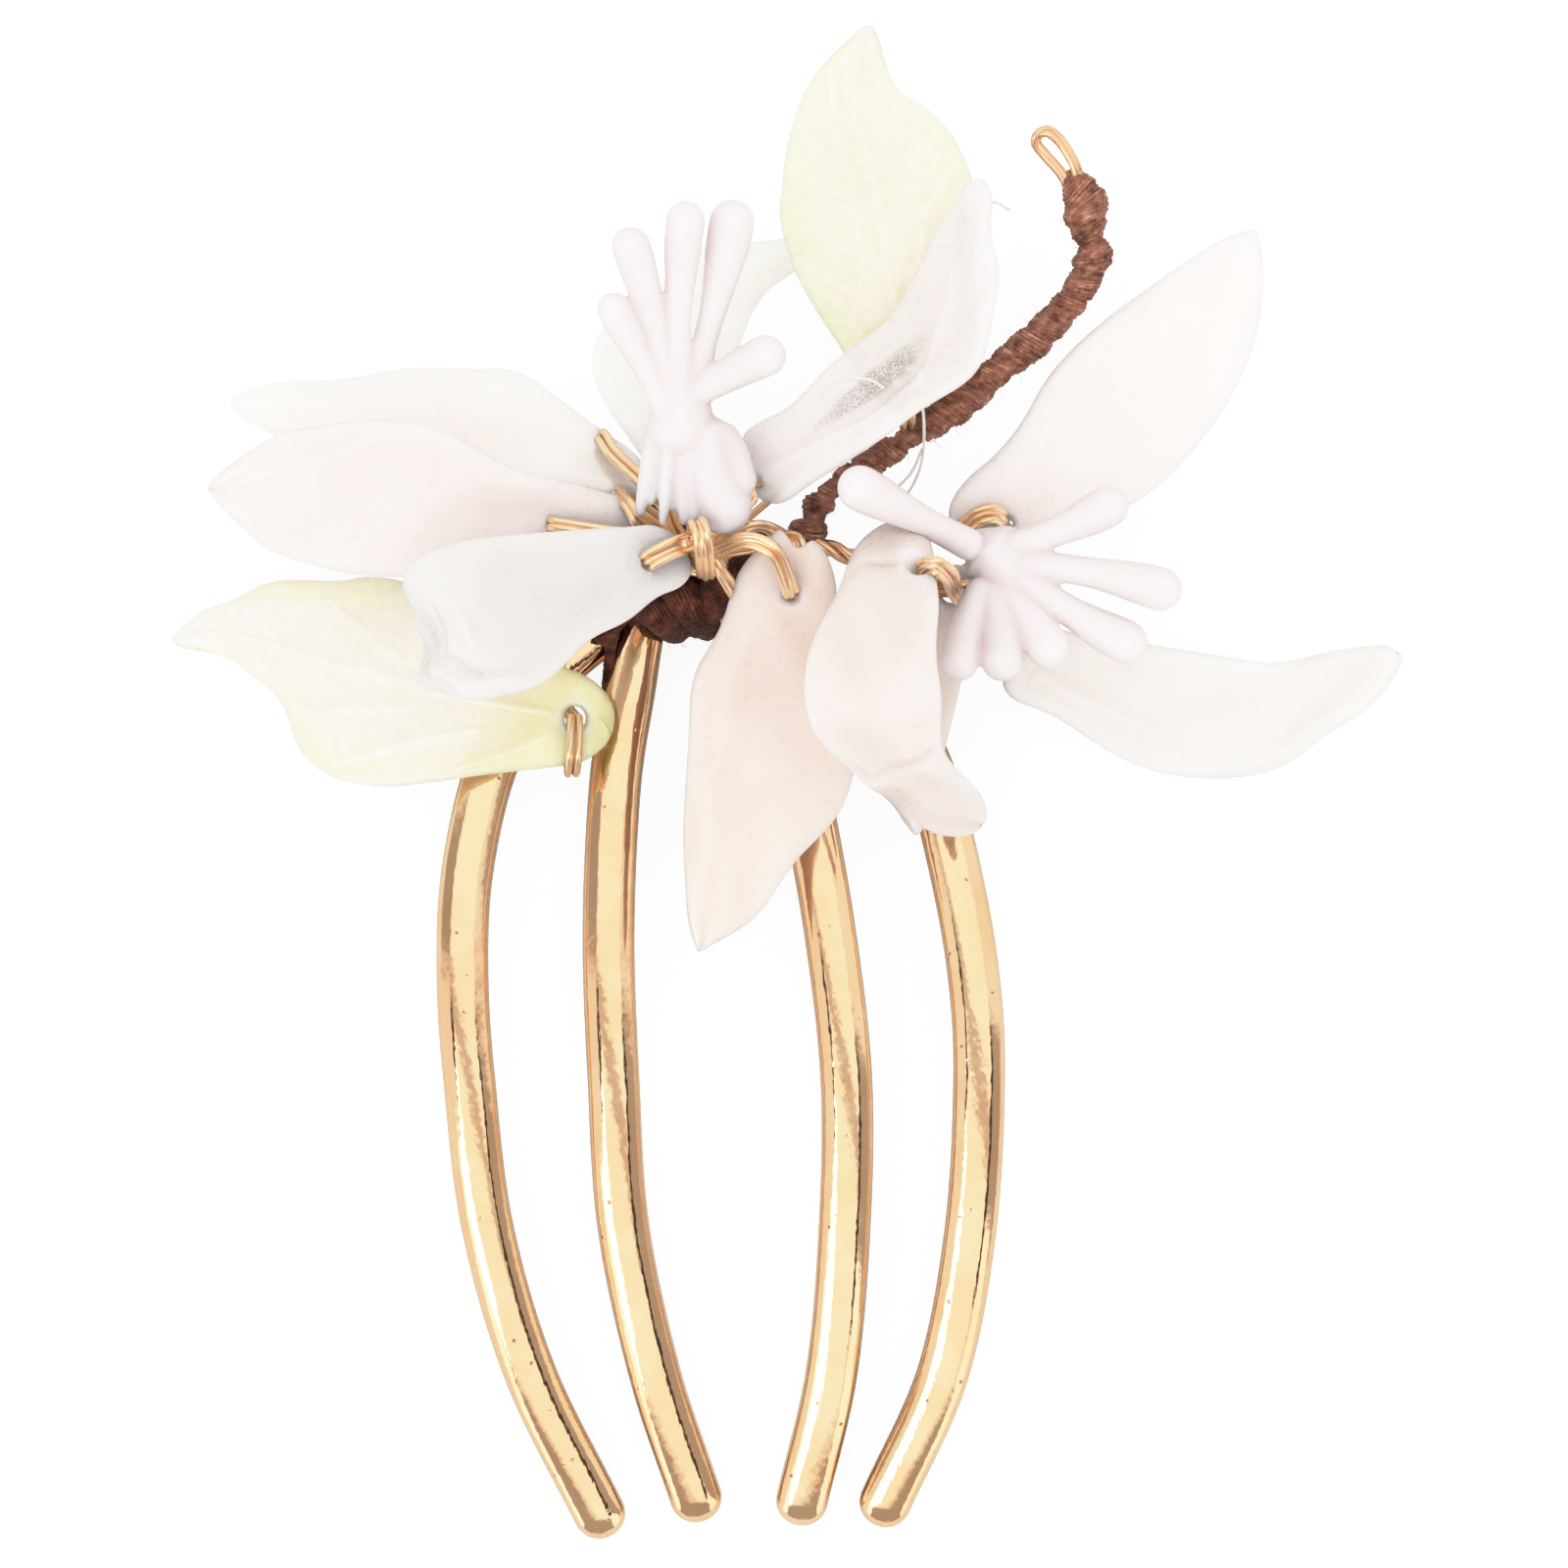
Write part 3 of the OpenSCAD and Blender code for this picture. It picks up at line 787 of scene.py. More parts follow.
@dataclass(frozen=True)
class Resin:
    """Moulded frosted resin that lets some light through.

    The edge and root colours lie at a blade's edge and root; the crackle and the lip, a painted light that
    whitens the resin towards the hole's edge against the shade there, lie at its hole.
    """

    name: str
    body: Colour
    clear: float = 0.12
    gloss: float = 0.32
    glow: float = 1.0
    depth: float = 1.6
    uneven: float = 0.22
    edge: Optional[Colour] = None
    root: Optional[Colour] = None
    root_reach: float = 0.3
    # lip: strength of the painted light that whitens the resin at the hole's edge, against the shade there
    lip: float = 0.3
    crackle: float = 0.0
    crack: Colour = (0.50, 0.44, 0.46)
    polish: float = 0.4
    shade: float = 0.965
    fleck_shade: float = 0.36
    speckles: tuple[Speckle, ...] = ()

    def colour(self, net: Net, where: Socket) -> Socket:
        """Colour before the speckles, at object coordinates.

        Args:
            net: the material's node tree.
            where: object coordinates.

        Returns:
            The colour.
        """
        shade = tuple(c * self.shade for c in self.body)
        colour = net.blend(net.span(net.noise(where, 0.16, 3), 0.35, 0.65), self.body, shade)
        if self.edge is not None:
            across = net.math("ABSOLUTE", net.attribute("across"))
            wander = net.math("MULTIPLY_ADD", net.noise(where, 0.3, 2), 0.5, across)
            colour = net.blend(net.span(wander, 0.8, 1.35), colour, self.edge)
        if self.root is not None:
            near = net.span(net.attribute("lengthwise"), self.root_reach, 0.0)
            colour = net.blend(near, colour, self.root)
        # Painted light: the resin turns whiter towards the hole's edge, to offset the shade round the hole
        # and stand in for a bright rim.
        if self.lip > 0:
            near = net.span(net.attribute("rim"), 0.9, 0.0, 0, self.lip)
            colour = net.blend(near, colour, (1.0, 1.0, 1.0))
        if self.crackle > 0:
            away = net.math("ABSOLUTE", net.math("SUBTRACT", net.noise(where, 1.9, 3, 0.7, 1.0), 0.5))
            near = net.span(net.attribute("rim"), 1.7, 0.9)
            colour = net.blend(net.times(net.span(away, 0.05, 0.01), near, self.crackle), colour, self.crack)
        return colour

    def speckle(self, net: Net, where: Socket, patch: Speckle) -> Socket:
        """Strength of one patch of frost, at object coordinates.

        Args:
            net: the material's node tree.
            where: object coordinates.
            patch: the patch.

        Returns:
            The strength.
        """
        along, across = (
            net.math("DIVIDE", net.math("SUBTRACT", net.attribute(name), middle), reach)
            for name, middle, reach in zip(("lengthwise", "across"), patch.place, patch.reach)
        )
        away = net.math("SQRT", net.math("MULTIPLY_ADD", along, along, net.times(across, across)))
        inside = net.span(net.math("MULTIPLY_ADD", net.noise(where, 0.8, 2), 0.6, away), 1.35, 0.9)
        return net.times(net.span(net.noise(where, patch.grain, 2, 0.8), 0.46, 0.58), inside, patch.strength)

    def build(self) -> Material:
        """Make the material.

        Returns:
            The material.
        """
        material, net, surface = new_material(self.name)
        where = net.object_place()
        colour = self.colour(net, where)
        normal = net.bump(net.noise(where, 0.9, 2), self.uneven, 0.12)
        normal = net.bump(net.noise(where, 7.0, 3, 0.65), self.uneven * 0.7, 0.03, normal)
        for patch in self.speckles:
            amount = self.speckle(net, where, patch)
            colour = net.blend(amount, colour, tuple(c * self.fleck_shade for c in self.body))
            normal = net.bump(amount, 0.6, 0.1, normal)
        rough = net.span(net.noise(where, 1.3, 3), 0.3, 0.7, self.gloss - 0.06, self.gloss + 0.1)
        net.fill(surface, Base_Color=colour, Roughness=rough, Normal=normal, Subsurface_Weight=self.glow,
                 Subsurface_Radius=(1.0, 0.95, 0.9), Subsurface_Scale=self.depth * MM,
                 Coat_Weight=self.polish, Coat_Roughness=0.12)
        if self.clear > 0:
            film = net.node("ShaderNodeMixShader", Fac=self.clear)
            net.put(film.inputs[1], surface.outputs[0])
            net.put(film.inputs[2], net.node("ShaderNodeBsdfTransparent").outputs[0])
            net.fill(material.node_tree.nodes["Material Output"], Surface=film.outputs[0])
        return material


@dataclass(frozen=True)
class Floss:
    """Untwisted brown thread with fibres along its length."""

    name: str = "brown_floss"
    deep: Colour = (0.10, 0.035, 0.022)
    mid: Colour = (0.34, 0.14, 0.088)
    light: Colour = (0.64, 0.36, 0.26)

    def build(self) -> Material:
        """Make the material.

        Returns:
            The material.
        """
        material, net, surface = new_material(self.name)
        fibres = net.noise(net.thread_place(7.0, 320.0), 1.3, 4, 0.72)
        cloud = net.noise(net.object_place(), 1.4, 3, 0.65)
        tone = net.math("MULTIPLY_ADD", cloud, 0.55, net.times(fibres, 0.6))
        colour = net.blend(net.span(tone, 0.46, 0.6), self.deep, self.mid)
        colour = net.blend(net.span(tone, 0.6, 0.72), colour, self.light)
        net.fill(surface, Base_Color=colour, Roughness=net.span(fibres, 0.3, 0.7, 0.75, 0.55),
                 Normal=net.bump(fibres, 0.8, 0.07), Sheen_Weight=0.2, Sheen_Roughness=0.4,
                 Specular_IOR_Level=0.3)
        return material


# Comb


@dataclass
class Comb:
    """Cast comb: one bar over the arch from tip to tip and two bars inside it."""

    width: float = 3.2
    thickness: float = 2.2
    bow: float = 3.6
    arch_top: float = 11.3
    arch_z: float = 3.0
    tip_z: float = 1.15
    squareness: float = 2.35
    sides: int = 32
    tip_steps: int = 14
    outer: Sequence[Pair] = (
        (-11.3, -44.6), (-15.5, -36), (-18.1, -27), (-19.2, -18), (-19.6, -12), (-19.4, -6), (-18.2, 0),
        (-16.5, 3.8), (-13.8, 7.2), (-10.6, 9.7), (-7.6, 10.9), (-4.8, 11.3), (-2, 10.9), (1.2, 9.7),
        (4.5, 7.2), (7.2, 3.8), (9, 0.3), (10.6, -6), (11.6, -12), (11.9, -18), (11.4, -27), (9.7, -36),
        (6.2, -43.9),
    )
    left: Sequence[Pair] = (
        (-8.8, 10.2), (-9.4, 6), (-10.3, 0), (-10.7, -9), (-10.4, -18), (-9.8, -27), (-7.9, -36),
        (-5.4, -43.6),
    )
    right: Sequence[Pair] = (
        (-0.8, 10.2), (0.2, 5), (1.2, 0), (2.8, -9), (3.8, -18), (3.7, -27), (2.9, -36), (1.1, -43.8),
    )

    def height(self, y: Array) -> Array:
        """Height of the bars' middle line at y."""
        u = (self.arch_top - y) / (self.arch_top - self.outer[0][1])
        return mix(self.arch_z, self.tip_z, u) + 4 * self.bow * u * (1 - u)

    def rings(self, path: Array, round_start: bool) -> Array:
        """Outlines of a bar along its path, with its rounded ends.

        Args:
            path: the bar's middle line.
            round_start: True where its first end is a tip too.

        Returns:
            Rings of points.
        """
        directions = path_directions(path)
        half_w, half_t = self.width / 2, self.thickness / 2
        turns = np.linspace(0, math.pi / 2, self.tip_steps + 1)[1:]
        middles, sizes, ways = list(path), [1.0] * len(path), list(directions)
        for a in turns:
            middles.append(path[-1] + directions[-1] * math.sin(a) * half_w)
            sizes.append(math.cos(a))
            ways.append(directions[-1])
            if round_start:
                middles.insert(0, path[0] - directions[0] * math.sin(a) * half_w)
                sizes.insert(0, math.cos(a))
                ways.insert(0, directions[0])
        angle = np.linspace(0, math.tau, self.sides, endpoint=False)
        power = 2 / self.squareness
        x = half_w * np.sign(np.cos(angle)) * np.abs(np.cos(angle)) ** power
        y = half_t * np.sign(np.sin(angle)) * np.abs(np.sin(angle)) ** power
        found = []
        for middle, size, d in zip(middles, sizes, ways):
            side = unit(np.cross((0.0, 0.0, 1.0), d))
            up = np.cross(d, side)
            found.append(middle + size * (x[:, None] * side + y[:, None] * up))
        return np.array(found)

    def bar(self, name: str, line: Sequence[Pair], steps: int, round_start: bool) -> Piece:
        """Make one bar.

        Args:
            name: the bar's name.
            line: its middle line seen from the front.
            steps: steps along it.
            round_start: True where its first end is a tip too.

        Returns:
            The closed bar.
        """
        flat = Curve([(x, y, 0) for x, y in line]).spread(steps)
        path = np.column_stack([flat[:, :2], self.height(flat[:, 1])])
        shell = Shell()
        index = shell.add(self.rings(path, round_start))
        shell.net(index, around=True)
        if not round_start:
            shell.faces.append(tuple(index[0][::-1]))
        return shell.piece(name)

    def build(self, finish: Plating) -> None:
        """Join the bars into one solid and plate it.

        Args:
            finish: the comb's plating.
        """
        body = self.bar("comb_plated", self.outer, 330, True)
        for name, line in (("left_bar", self.left), ("right_bar", self.right)):
            bar = self.bar(name, line, 130, False)
            union = body.modifiers.new(name, "BOOLEAN")
            union.operation = "UNION"
            union.solver = "EXACT"
            union.object = bar
            settle(body)
            remove(bar)
        tidy_mesh(body.data, 0.001 * MM)
        dress(body, finish.build(), Slot.METAL, "comb")


# Petals and leaves


@dataclass(frozen=True)
class Ridge:
    """A raised or sunk line on a blade's front: points as shares along and across, size in millimetres."""

    line: Sequence[Pair]
    width: float
    height: float


@dataclass(frozen=True)
class Push:
    """A soft push on a blade, in photo pixels, with a lift in millimetres."""

    x: float
    y: float
    reach: float
    right: float = 0.0
    down: float = 0.0
    lift: float = 0.0


@dataclass
class Blade:
    """A moulded petal or leaf with a wire hole, by the part's own rule and with finer detail.

    A wave has a size, the radians that it runs through along the blade and from its middle to its side,
    and a phase in radians for each millimetre of the blade's length. The patch is the round net about
    the hole, with a number of rings and a reach in radii of the hole.
    """

    node: str
    line: Sequence[Number3]
    outline: tuple[float, float, float, float, float]
    roll: Pair = (0, 0)
    cup: Pair = (10, 10)
    ring: int = 3
    thick: float = 1.3
    hole_r: float = 0.7
    hole_shape: Pair = (1.0, 1.0)
    hole_seen: Optional[Pair] = None
    wave: float = 0.12
    pushes: Sequence[Push] = ()
    ridges: Sequence[Ridge] = ()
    seen_ridges: Sequence[Ridge] = ()
    rings: int = 110
    steps: int = 44
    root_round: float = 0.1
    end_round: float = 0.06
    lip_round: float = 0.3
    cad_rings: int = 14
    patch_rings: int = 12
    patch_reach: float = 1.9
    merge: float = 0.004
    waves: Sequence[Number4] = ((1.0, 9, 2.6, 1), (0.6, 21, -5, 2))

    def __post_init__(self) -> None:
        """Work out the middle line, its length and the place of the hole."""
        self.curve = Curve(self.line)
        self.long = self.curve.length()
        self.hole = ((1 - math.cos(math.pi * self.ring / (self.cad_rings + 1))) / 2, 0.0)
        if self.hole_seen is not None:
            self.hole = self.place_of(*self.hole_seen)
        found = (replace(r, line=[self.place_of(*spot) for spot in r.line]) for r in self.seen_ridges)
        self.ridges = (*self.ridges, *found)

    def frames(self, u: Array) -> tuple[Array, Array, Array]:
        """Direction, side and front of the blade at the places u.

        Args:
            u: places along the blade.

        Returns:
            A direction, a side and a front for each place.
        """
        d = self.curve.direction(u)
        span = self.curve.points[-1] - self.curve.points[0]
        up = unit(np.cross(d, (-span[1], span[0], 0.0)))
        side = np.cross(up, d)
        roll = np.radians(mix(*self.roll, u))[..., None]
        return d, side * np.cos(roll) + up * np.sin(roll), up * np.cos(roll) - side * np.sin(roll)

    def half(self, u: Array) -> Array:
        """Half the width at the places u.

        Args:
            u: places along the blade.

        Returns:
            Half the width at each place.
        """
        width, root, belly, taper, blunt = self.outline
        rise = mix(root, 1, (1 - np.cos(math.pi * np.minimum(u / belly, 1))) / 2)
        past = np.clip((u - belly) / (1 - belly), 0, 1)
        fall = mix((1 - past ** 2) ** taper, np.sqrt(1 - past ** 4), blunt)
        ends = np.where(u > self.root_round, 1, np.sqrt(1 - (1 - np.minimum(u / self.root_round, 1)) ** 2))
        return np.maximum(width / 2 * rise * fall * ends, 1e-5)

    def relief(self, u: Array, v: Array, half: Array) -> Array:
        """Height of the ridges.

        Args:
            u: places along the blade.
            v: places across it.
            half: half the width at each place.

        Returns:
            One height for each place.
        """
        height = np.zeros_like(u)
        here = np.stack([u * self.long, v * half], axis=-1)
        for ridge in self.ridges:
            corners = np.array([(a * self.long, b * float(self.half(np.array(a)))) for a, b in ridge.line])
            near = np.full(u.shape, np.inf)
            for a, b in zip(corners[:-1], corners[1:]):
                span = b - a
                share = np.clip(((here - a) @ span) / (span @ span), 0, 1)
                near = np.minimum(near, np.linalg.norm(here - a - share[..., None] * span, axis=-1))
            height = height + ridge.height * np.exp(-(near / ridge.width) ** 2)
        return height

    def rim(self, u: Array, v: Array) -> Array:
        """Distance of the places u, v from the hole's edge.

        Args:
            u: places along the blade.
            v: places across it.

        Returns:
            One distance for each place, less than 0 in the hole.
        """
        wide, high = self.hole_shape
        reach = np.hypot((u - self.hole[0]) * self.long / wide, (v - self.hole[1]) * self.half(u) / high)
        return reach - self.hole_r

    def points(self, u: Array, v: Array, face: int) -> Array:
        """Points of the blade.

        Args:
            u: places along it.
            v: places across it, from -1 to 1.
            face: 1 for the front, -1 for the back, 0 for the middle.

        Returns:
            One point for each place.
        """
        _, side, front = self.frames(u)
        half = self.half(u)
        cup = np.radians(mix(*self.cup, u))
        radius = half / cup
        lean = cup * v
        end = np.clip(np.minimum(u, 1 - u) / self.end_round, 0, 1)
        ends = np.sqrt(1 - (1 - end) ** 2)
        lip = np.clip(self.rim(u, v) / (self.thick * self.lip_round), 0, 1)
        rim = np.sqrt(np.maximum(1 - (1 - lip) ** 2, 0)) if face else 1.0
        swell = np.sqrt(np.maximum(1 - v ** 4, 0)) * ends * rim
        wall = face * self.thick / 2 * swell
        if face > 0 and self.ridges:
            wall = wall + self.relief(u, v, half) * np.minimum(swell * 1.5, 1)
        sway = self.wave * sum(size * np.sin(u * along + v * across + self.long * phase)
                               for size, along, across, phase in self.waves)
        wall_x = (radius - wall) * np.sin(lean)
        wall_z = radius * (1 - np.cos(lean)) + wall * np.cos(lean) + sway * np.minimum(u * 4, 1)
        points = self.curve.at(u) + side * wall_x[..., None] + front * wall_z[..., None]
        for push in self.pushes:
            away = np.linalg.norm(VIEW.pixels(points) - (push.x, push.y), axis=-1) / push.reach
            way = np.array((push.right * VIEW.pixel, -push.down * VIEW.pixel, push.lift))
            points = points + np.exp(-away ** 2)[..., None] * way
        return points

    def place_of(self, x: float, y: float) -> Pair:
        """Place on the blade that the camera sees at a photo pixel.

        Args:
            x: the pixel's x.
            y: the pixel's y.

        Returns:
            The place along the blade and the place across it.
        """
        if not hasattr(self, "hole"):
            self.hole = (-1.0, 0.0)
        best, span = (0.5, 0.0), (0.49, 0.98)
        for steps in (97, 13, 13):
            u, v = np.meshgrid(np.linspace(best[0] - span[0], best[0] + span[0], steps),
                               np.linspace(best[1] - span[1], best[1] + span[1], steps), indexing="ij")
            u, v = np.clip(u, 0.01, 0.99), np.clip(v, -0.98, 0.98)
            away = np.linalg.norm(VIEW.pixels(self.points(u, v, 0)) - (x, y), axis=-1)
            k = np.unravel_index(np.argmin(away), away.shape)
            best = (float(u[k]), float(v[k]))
            span = (span[0] * 3 / steps, span[1] * 3 / steps)
        return best

    def over(self, x: float, y: float, lift: float) -> Array:
        """Point a distance above the middle of the wall at a photo pixel."""
        return self.above(*self.place_of(x, y), lift)

    def above(self, u: float, v: float, lift: float) -> Array:
        """Point a distance above the middle of the blade's wall at place u, v.

        Args:
            u: place along the blade.
            v: place across it.
            lift: the distance.

        Returns:
            The point.
        """
        _, side, front = self.frames(np.array(u))
        lean = math.radians(mix(*self.cup, u)) * v
        normal = front * math.cos(lean) - side * math.sin(lean)
        return self.points(np.array(u), np.array(v), 0) + normal * lift

    def block(self, u: Array, v: Array) -> tuple[slice, slice]:
        """Rows and columns of the cells that the hole's round patch replaces.

        Args:
            u: the rows' places along the blade.
            v: the columns' places across it.

        Returns:
            The rows and the columns.
        """
        reach = self.hole_r * self.patch_reach * max(self.hole_shape)
        middle = float(self.half(np.array(self.hole[0])))
        i0 = int(np.searchsorted(u, self.hole[0] - reach / self.long)) - 1
        i1 = int(np.searchsorted(u, self.hole[0] + reach / self.long))
        j0 = int(np.searchsorted(v, self.hole[1] - reach / middle)) - 1
        j1 = int(np.searchsorted(v, self.hole[1] + reach / middle))
        return slice(max(i0, 2), i1), slice(max(j0, 2), min(j1, len(v) - 3))

    def shell(self) -> Shell:
        """Both faces of the blade, with a round patch about its hole.

        Returns:
            The shell.
        """
        u = (1 - np.cos(math.pi * np.arange(self.rings + 1) / self.rings)) / 2
        v = np.sin(math.pi / 2 * (2 * np.arange(self.steps + 1) / self.steps - 1))
        rows, columns = self.block(u, v)
        skip = np.zeros((self.rings, self.steps), bool)
        skip[rows, columns] = True
        top, left = rows.start, columns.start
        low, right = rows.stop, columns.stop
        border = [(top, j) for j in range(left, right)] + [(i, right) for i in range(top, low)]
        border += [(low, j) for j in range(right, left, -1)] + [(i, left) for i in range(low, top, -1)]
        edge = np.array(border)
        eu, ev = u[edge[:, 0]], v[edge[:, 1]]
        hole_u, hole_v = self.hole
        wide, high = self.hole_shape
        a, b = (eu - hole_u) * self.long, (ev - hole_v) * self.half(eu)
        turn = np.arctan2(b / high, a / wide)
        circle = np.stack([np.cos(turn) * wide, np.sin(turn) * high]) * self.hole_r
        shares = (1 - np.cos(math.pi / 2 * np.linspace(0, 1, self.patch_rings)))[::-1]
        ring_a = np.array([mix(circle[0], a, s) for s in shares])
        ring_b = np.array([mix(circle[1], b, s) for s in shares])
        ring_u = hole_u + ring_a / self.long
        ring_v = hole_v + ring_b / self.half(ring_u)
        grid_u, grid_v = np.meshgrid(u, v, indexing="ij")
        shell = Shell()
        for face in (1, -1):
            index = shell.add(self.points(grid_u, grid_v, face), lengthwise=grid_u, across=grid_v,
                              rim=self.rim(grid_u, grid_v))
            shell.net(index, flip=face < 0, skip=skip)
            patch = shell.add(self.points(ring_u, ring_v, face), lengthwise=ring_u, across=ring_v,
                              rim=self.rim(ring_u, ring_v))
            shell.net(patch, around=True, flip=face < 0)
        return shell

    def build(self, material: Material, slot: Slot) -> None:
        """Make the blade and dress it."""
        dress(self.shell().piece(f"{self.node}_moulded", self.merge), material, slot, self.node)


def petals() -> dict[str, Blade]:
    """The ten petals.

    Returns:
        The petals by their CAD nodes.
    """
    blades = (
        Blade("petal_a1", ((-8.4, 18.2, 10), (-13.8, 20.2, 9.4), (-19.8, 21.4, 8.6), (-27, 22.4, 8),
                           (-33.7, 23.3, 8)), (8.8, 0.4, 0.5, 0.8, 0), (35, 40), (15, 25), 4,
              hole_r=0.3, hole_seen=(614, 452),
              pushes=(Push(350, 378, 65, 0, 10), Push(525, 388, 40, 2, -8)),
              seen_ridges=(Ridge(((262, 412), (310, 416), (380, 410)), 0.5, 0.14),)),
        Blade("petal_a2", ((-8.5, 15.2, 12.6), (-14.8, 16.2, 13.5), (-21.6, 17.2, 14), (-28.2, 17.5, 13.5),
                           (-35, 18, 12.5)), (9.7, 0.4, 0.6, 0.8, 0), (-5, -5), (15, 20), 5,
              hole_r=0.3, hole_seen=(565, 535),
              pushes=(Push(520, 466, 60, -4, 13), Push(285, 450, 35, -2, -5), Push(275, 556, 30, -2, 4)),
              seen_ridges=(Ridge(((235, 500), (300, 470), (390, 445)), 0.5, 0.12),)),
        Blade("petal_a3", ((-5.8, 13.7, 14.5), (-10.8, 12.1, 18), (-16.2, 10.3, 21.5), (-20.4, 9.2, 22.6),
                           (-22.6, 7.4, 20)), (10.2, 0.5, 0.6, 0.5, 0), (5, 20), (20, 10), 4,
              hole_r=0.42, hole_shape=(0.8, 1.2), hole_seen=(658, 577),
              pushes=(Push(682, 622, 42, -7, -15), Push(612, 669, 45, -8, -15), Push(412, 652, 38, 21, 0),
                      Push(440, 714, 22, 9, -9), Push(404, 598, 16, -4, 0)),
              seen_ridges=(Ridge(((438, 640), (449, 685), (474, 703), (530, 702)), 0.5, 0.3),
                           Ridge(((466, 632), (474, 646), (480, 660)), 0.45, 0.25),
                           Ridge(((446, 620), (458, 668), (490, 690)), 0.4, -0.25))),
        Blade("petal_a4", ((-1.7, 17.7, 11.4), (2.4, 21.2, 13.4), (6.8, 24.8, 14.8), (10.4, 29.8, 15),
                           (12, 36.8, 13)), (8.4, 0.5, 0.6, 0.75, 0), (-35, -50), (30, 20), 3,
              hole_r=0.3, hole_seen=(779, 494),
              pushes=(Push(893, 313, 42, 12, 12), Push(778, 450, 36, -16, -11), Push(1024, 238, 32, -12, 0),
                      Push(992, 372, 50, 14, 11), Push(1000, 186, 10, 0, 2), Push(985, 192, 12, -4, -3)),
              seen_ridges=(Ridge(((790, 490), (830, 465), (900, 430), (945, 395), (965, 345), (980, 280)),
                                 0.35, 0.22),)),
        Blade("petal_a5", ((-6.3, 19.2, 7.6), (-7.5, 23.6, 6.3), (-6.2, 27.8, 5), (-2.4, 31, 3.6),
                           (3, 33.2, 3)), (8.2, 0.5, 0.42, 1.1, 0),
              pushes=(Push(617, 370, 50, -11, 2), Push(664, 275, 36, 11, 15), Push(765, 240, 40, 0, 9),
                      Push(783, 312, 52, -11, -8))),
        Blade("petal_a6", ((0.9, 15.2, 13.7), (0.3, 9, 12.5), (-0.3, 4.2, 12), (-1.2, -0.5, 11.5),
                           (-3, -5.4, 11), (-5.4, -10.1, 10.5)), (10.2, 0.47, 0.5, 1, 0.1),
              hole_r=0.3, hole_seen=(808, 606),
              pushes=(Push(817, 544, 10, 0, 15), Push(757, 602, 55, -15, -4), Push(732, 690, 50, -16, -6),
                      Push(822, 890, 55, -12, -10), Push(796, 549, 10, -2, -6), Push(708, 965, 14, 3, 2)),
              seen_ridges=(Ridge(((760, 640), (740, 720), (722, 800), (712, 900)), 0.6, 0.14),)),
        Blade("petal_b1", ((11.4, 15.1, 9), (16.8, 18.9, 8.6), (20.6, 22.7, 8), (25, 27.7, 7.5),
                           (28.7, 33.7, 8.5)), (9.7, 0.6, 0.5, 0.75, 0),
              hole_r=0.36, hole_seen=(1026, 535),
              pushes=(Push(982, 522, 36, -14, 4),)),
        Blade("petal_b2", ((14.2, 8.4, 7.5), (18.2, 6.4, 4.4), (24, 4.5, 1.4), (30, 4.4, 1.1),
                           (34.4, 6.2, 3.8), (37.4, 8, 7)), (8, 0.5, 0.42, 1.3, 0.35), (10, 15), (25, 25), 3,
              hole_r=0.3, hole_seen=(1054, 652),
              pushes=(Push(1043, 698, 36, -17, 10), Push(1322, 664, 55, 1, 7),
                      Push(1352, 762, 50, -7, -10)),
              seen_ridges=(Ridge(((1050, 690), (1100, 715), (1170, 745)), 0.3, 0.2),
                           Ridge(((1200, 790), (1290, 778), (1370, 728)), 0.5, 0.16))),
        Blade("petal_b3", ((7.6, 14.5, 14.5), (5.9, 10.6, 20), (5.3, 6, 22.5), (6.3, 2.1, 21.5),
                           (9, -0.7, 18), (12, -2.4, 15)), (8.4, 0.5, 0.45, 0.6, 0), (0, 0), (15, 10), 3,
              hole_r=0.45, hole_seen=(941, 584),
              pushes=(Push(925, 553, 50, -4, -22), Push(884, 574, 40, -8, -9), Push(948, 608, 46, 12, -2),
                      Push(862, 800, 50, 15, -18), Push(912, 838, 30, 6, -16), Push(978, 766, 40, -13, 7)),
              seen_ridges=(Ridge(((855, 783), (885, 793), (920, 775), (950, 762)), 0.3, -0.3),
                           Ridge(((870, 592), (895, 587), (922, 585)), 0.16, -0.2))),
        Blade("petal_b4", ((11, 13.2, 12), (9, 9.2, 11.2), (7.2, 4.8, 9.6), (6.8, 0.6, 8.6),
                           (7.8, -3.4, 8.4)), (6.4, 0.45, 0.5, 0.7, 0),
              pushes=(Push(892, 834, 42, 15, -14),)),
    )
    return {blade.node: blade for blade in blades}


def veins(count: int, slant: float, height: float, width: float) -> list[Ridge]:
    """Midrib and side veins of a leaf.

    Args:
        count: side veins on each side.
        slant: how far a vein runs towards the tip, as a share of the leaf's length.
        height: height of the veins.
        width: half their width.

    Returns:
        The ridges.
    """
    found = [Ridge(((0.16, 0), (0.5, 0.02), (0.93, 0)), width * 1.3, height)]
    for k in range(count):
        start = 0.2 + 0.6 * k / count
        for side in (-1, 1):
            begin = start + (0.04 if side > 0 else 0)
            middle, end = (begin + slant * 0.45, side * 0.42), (begin + slant, side * 0.86)
            found.append(Ridge(((begin, 0), middle, end), width, height))
    return found


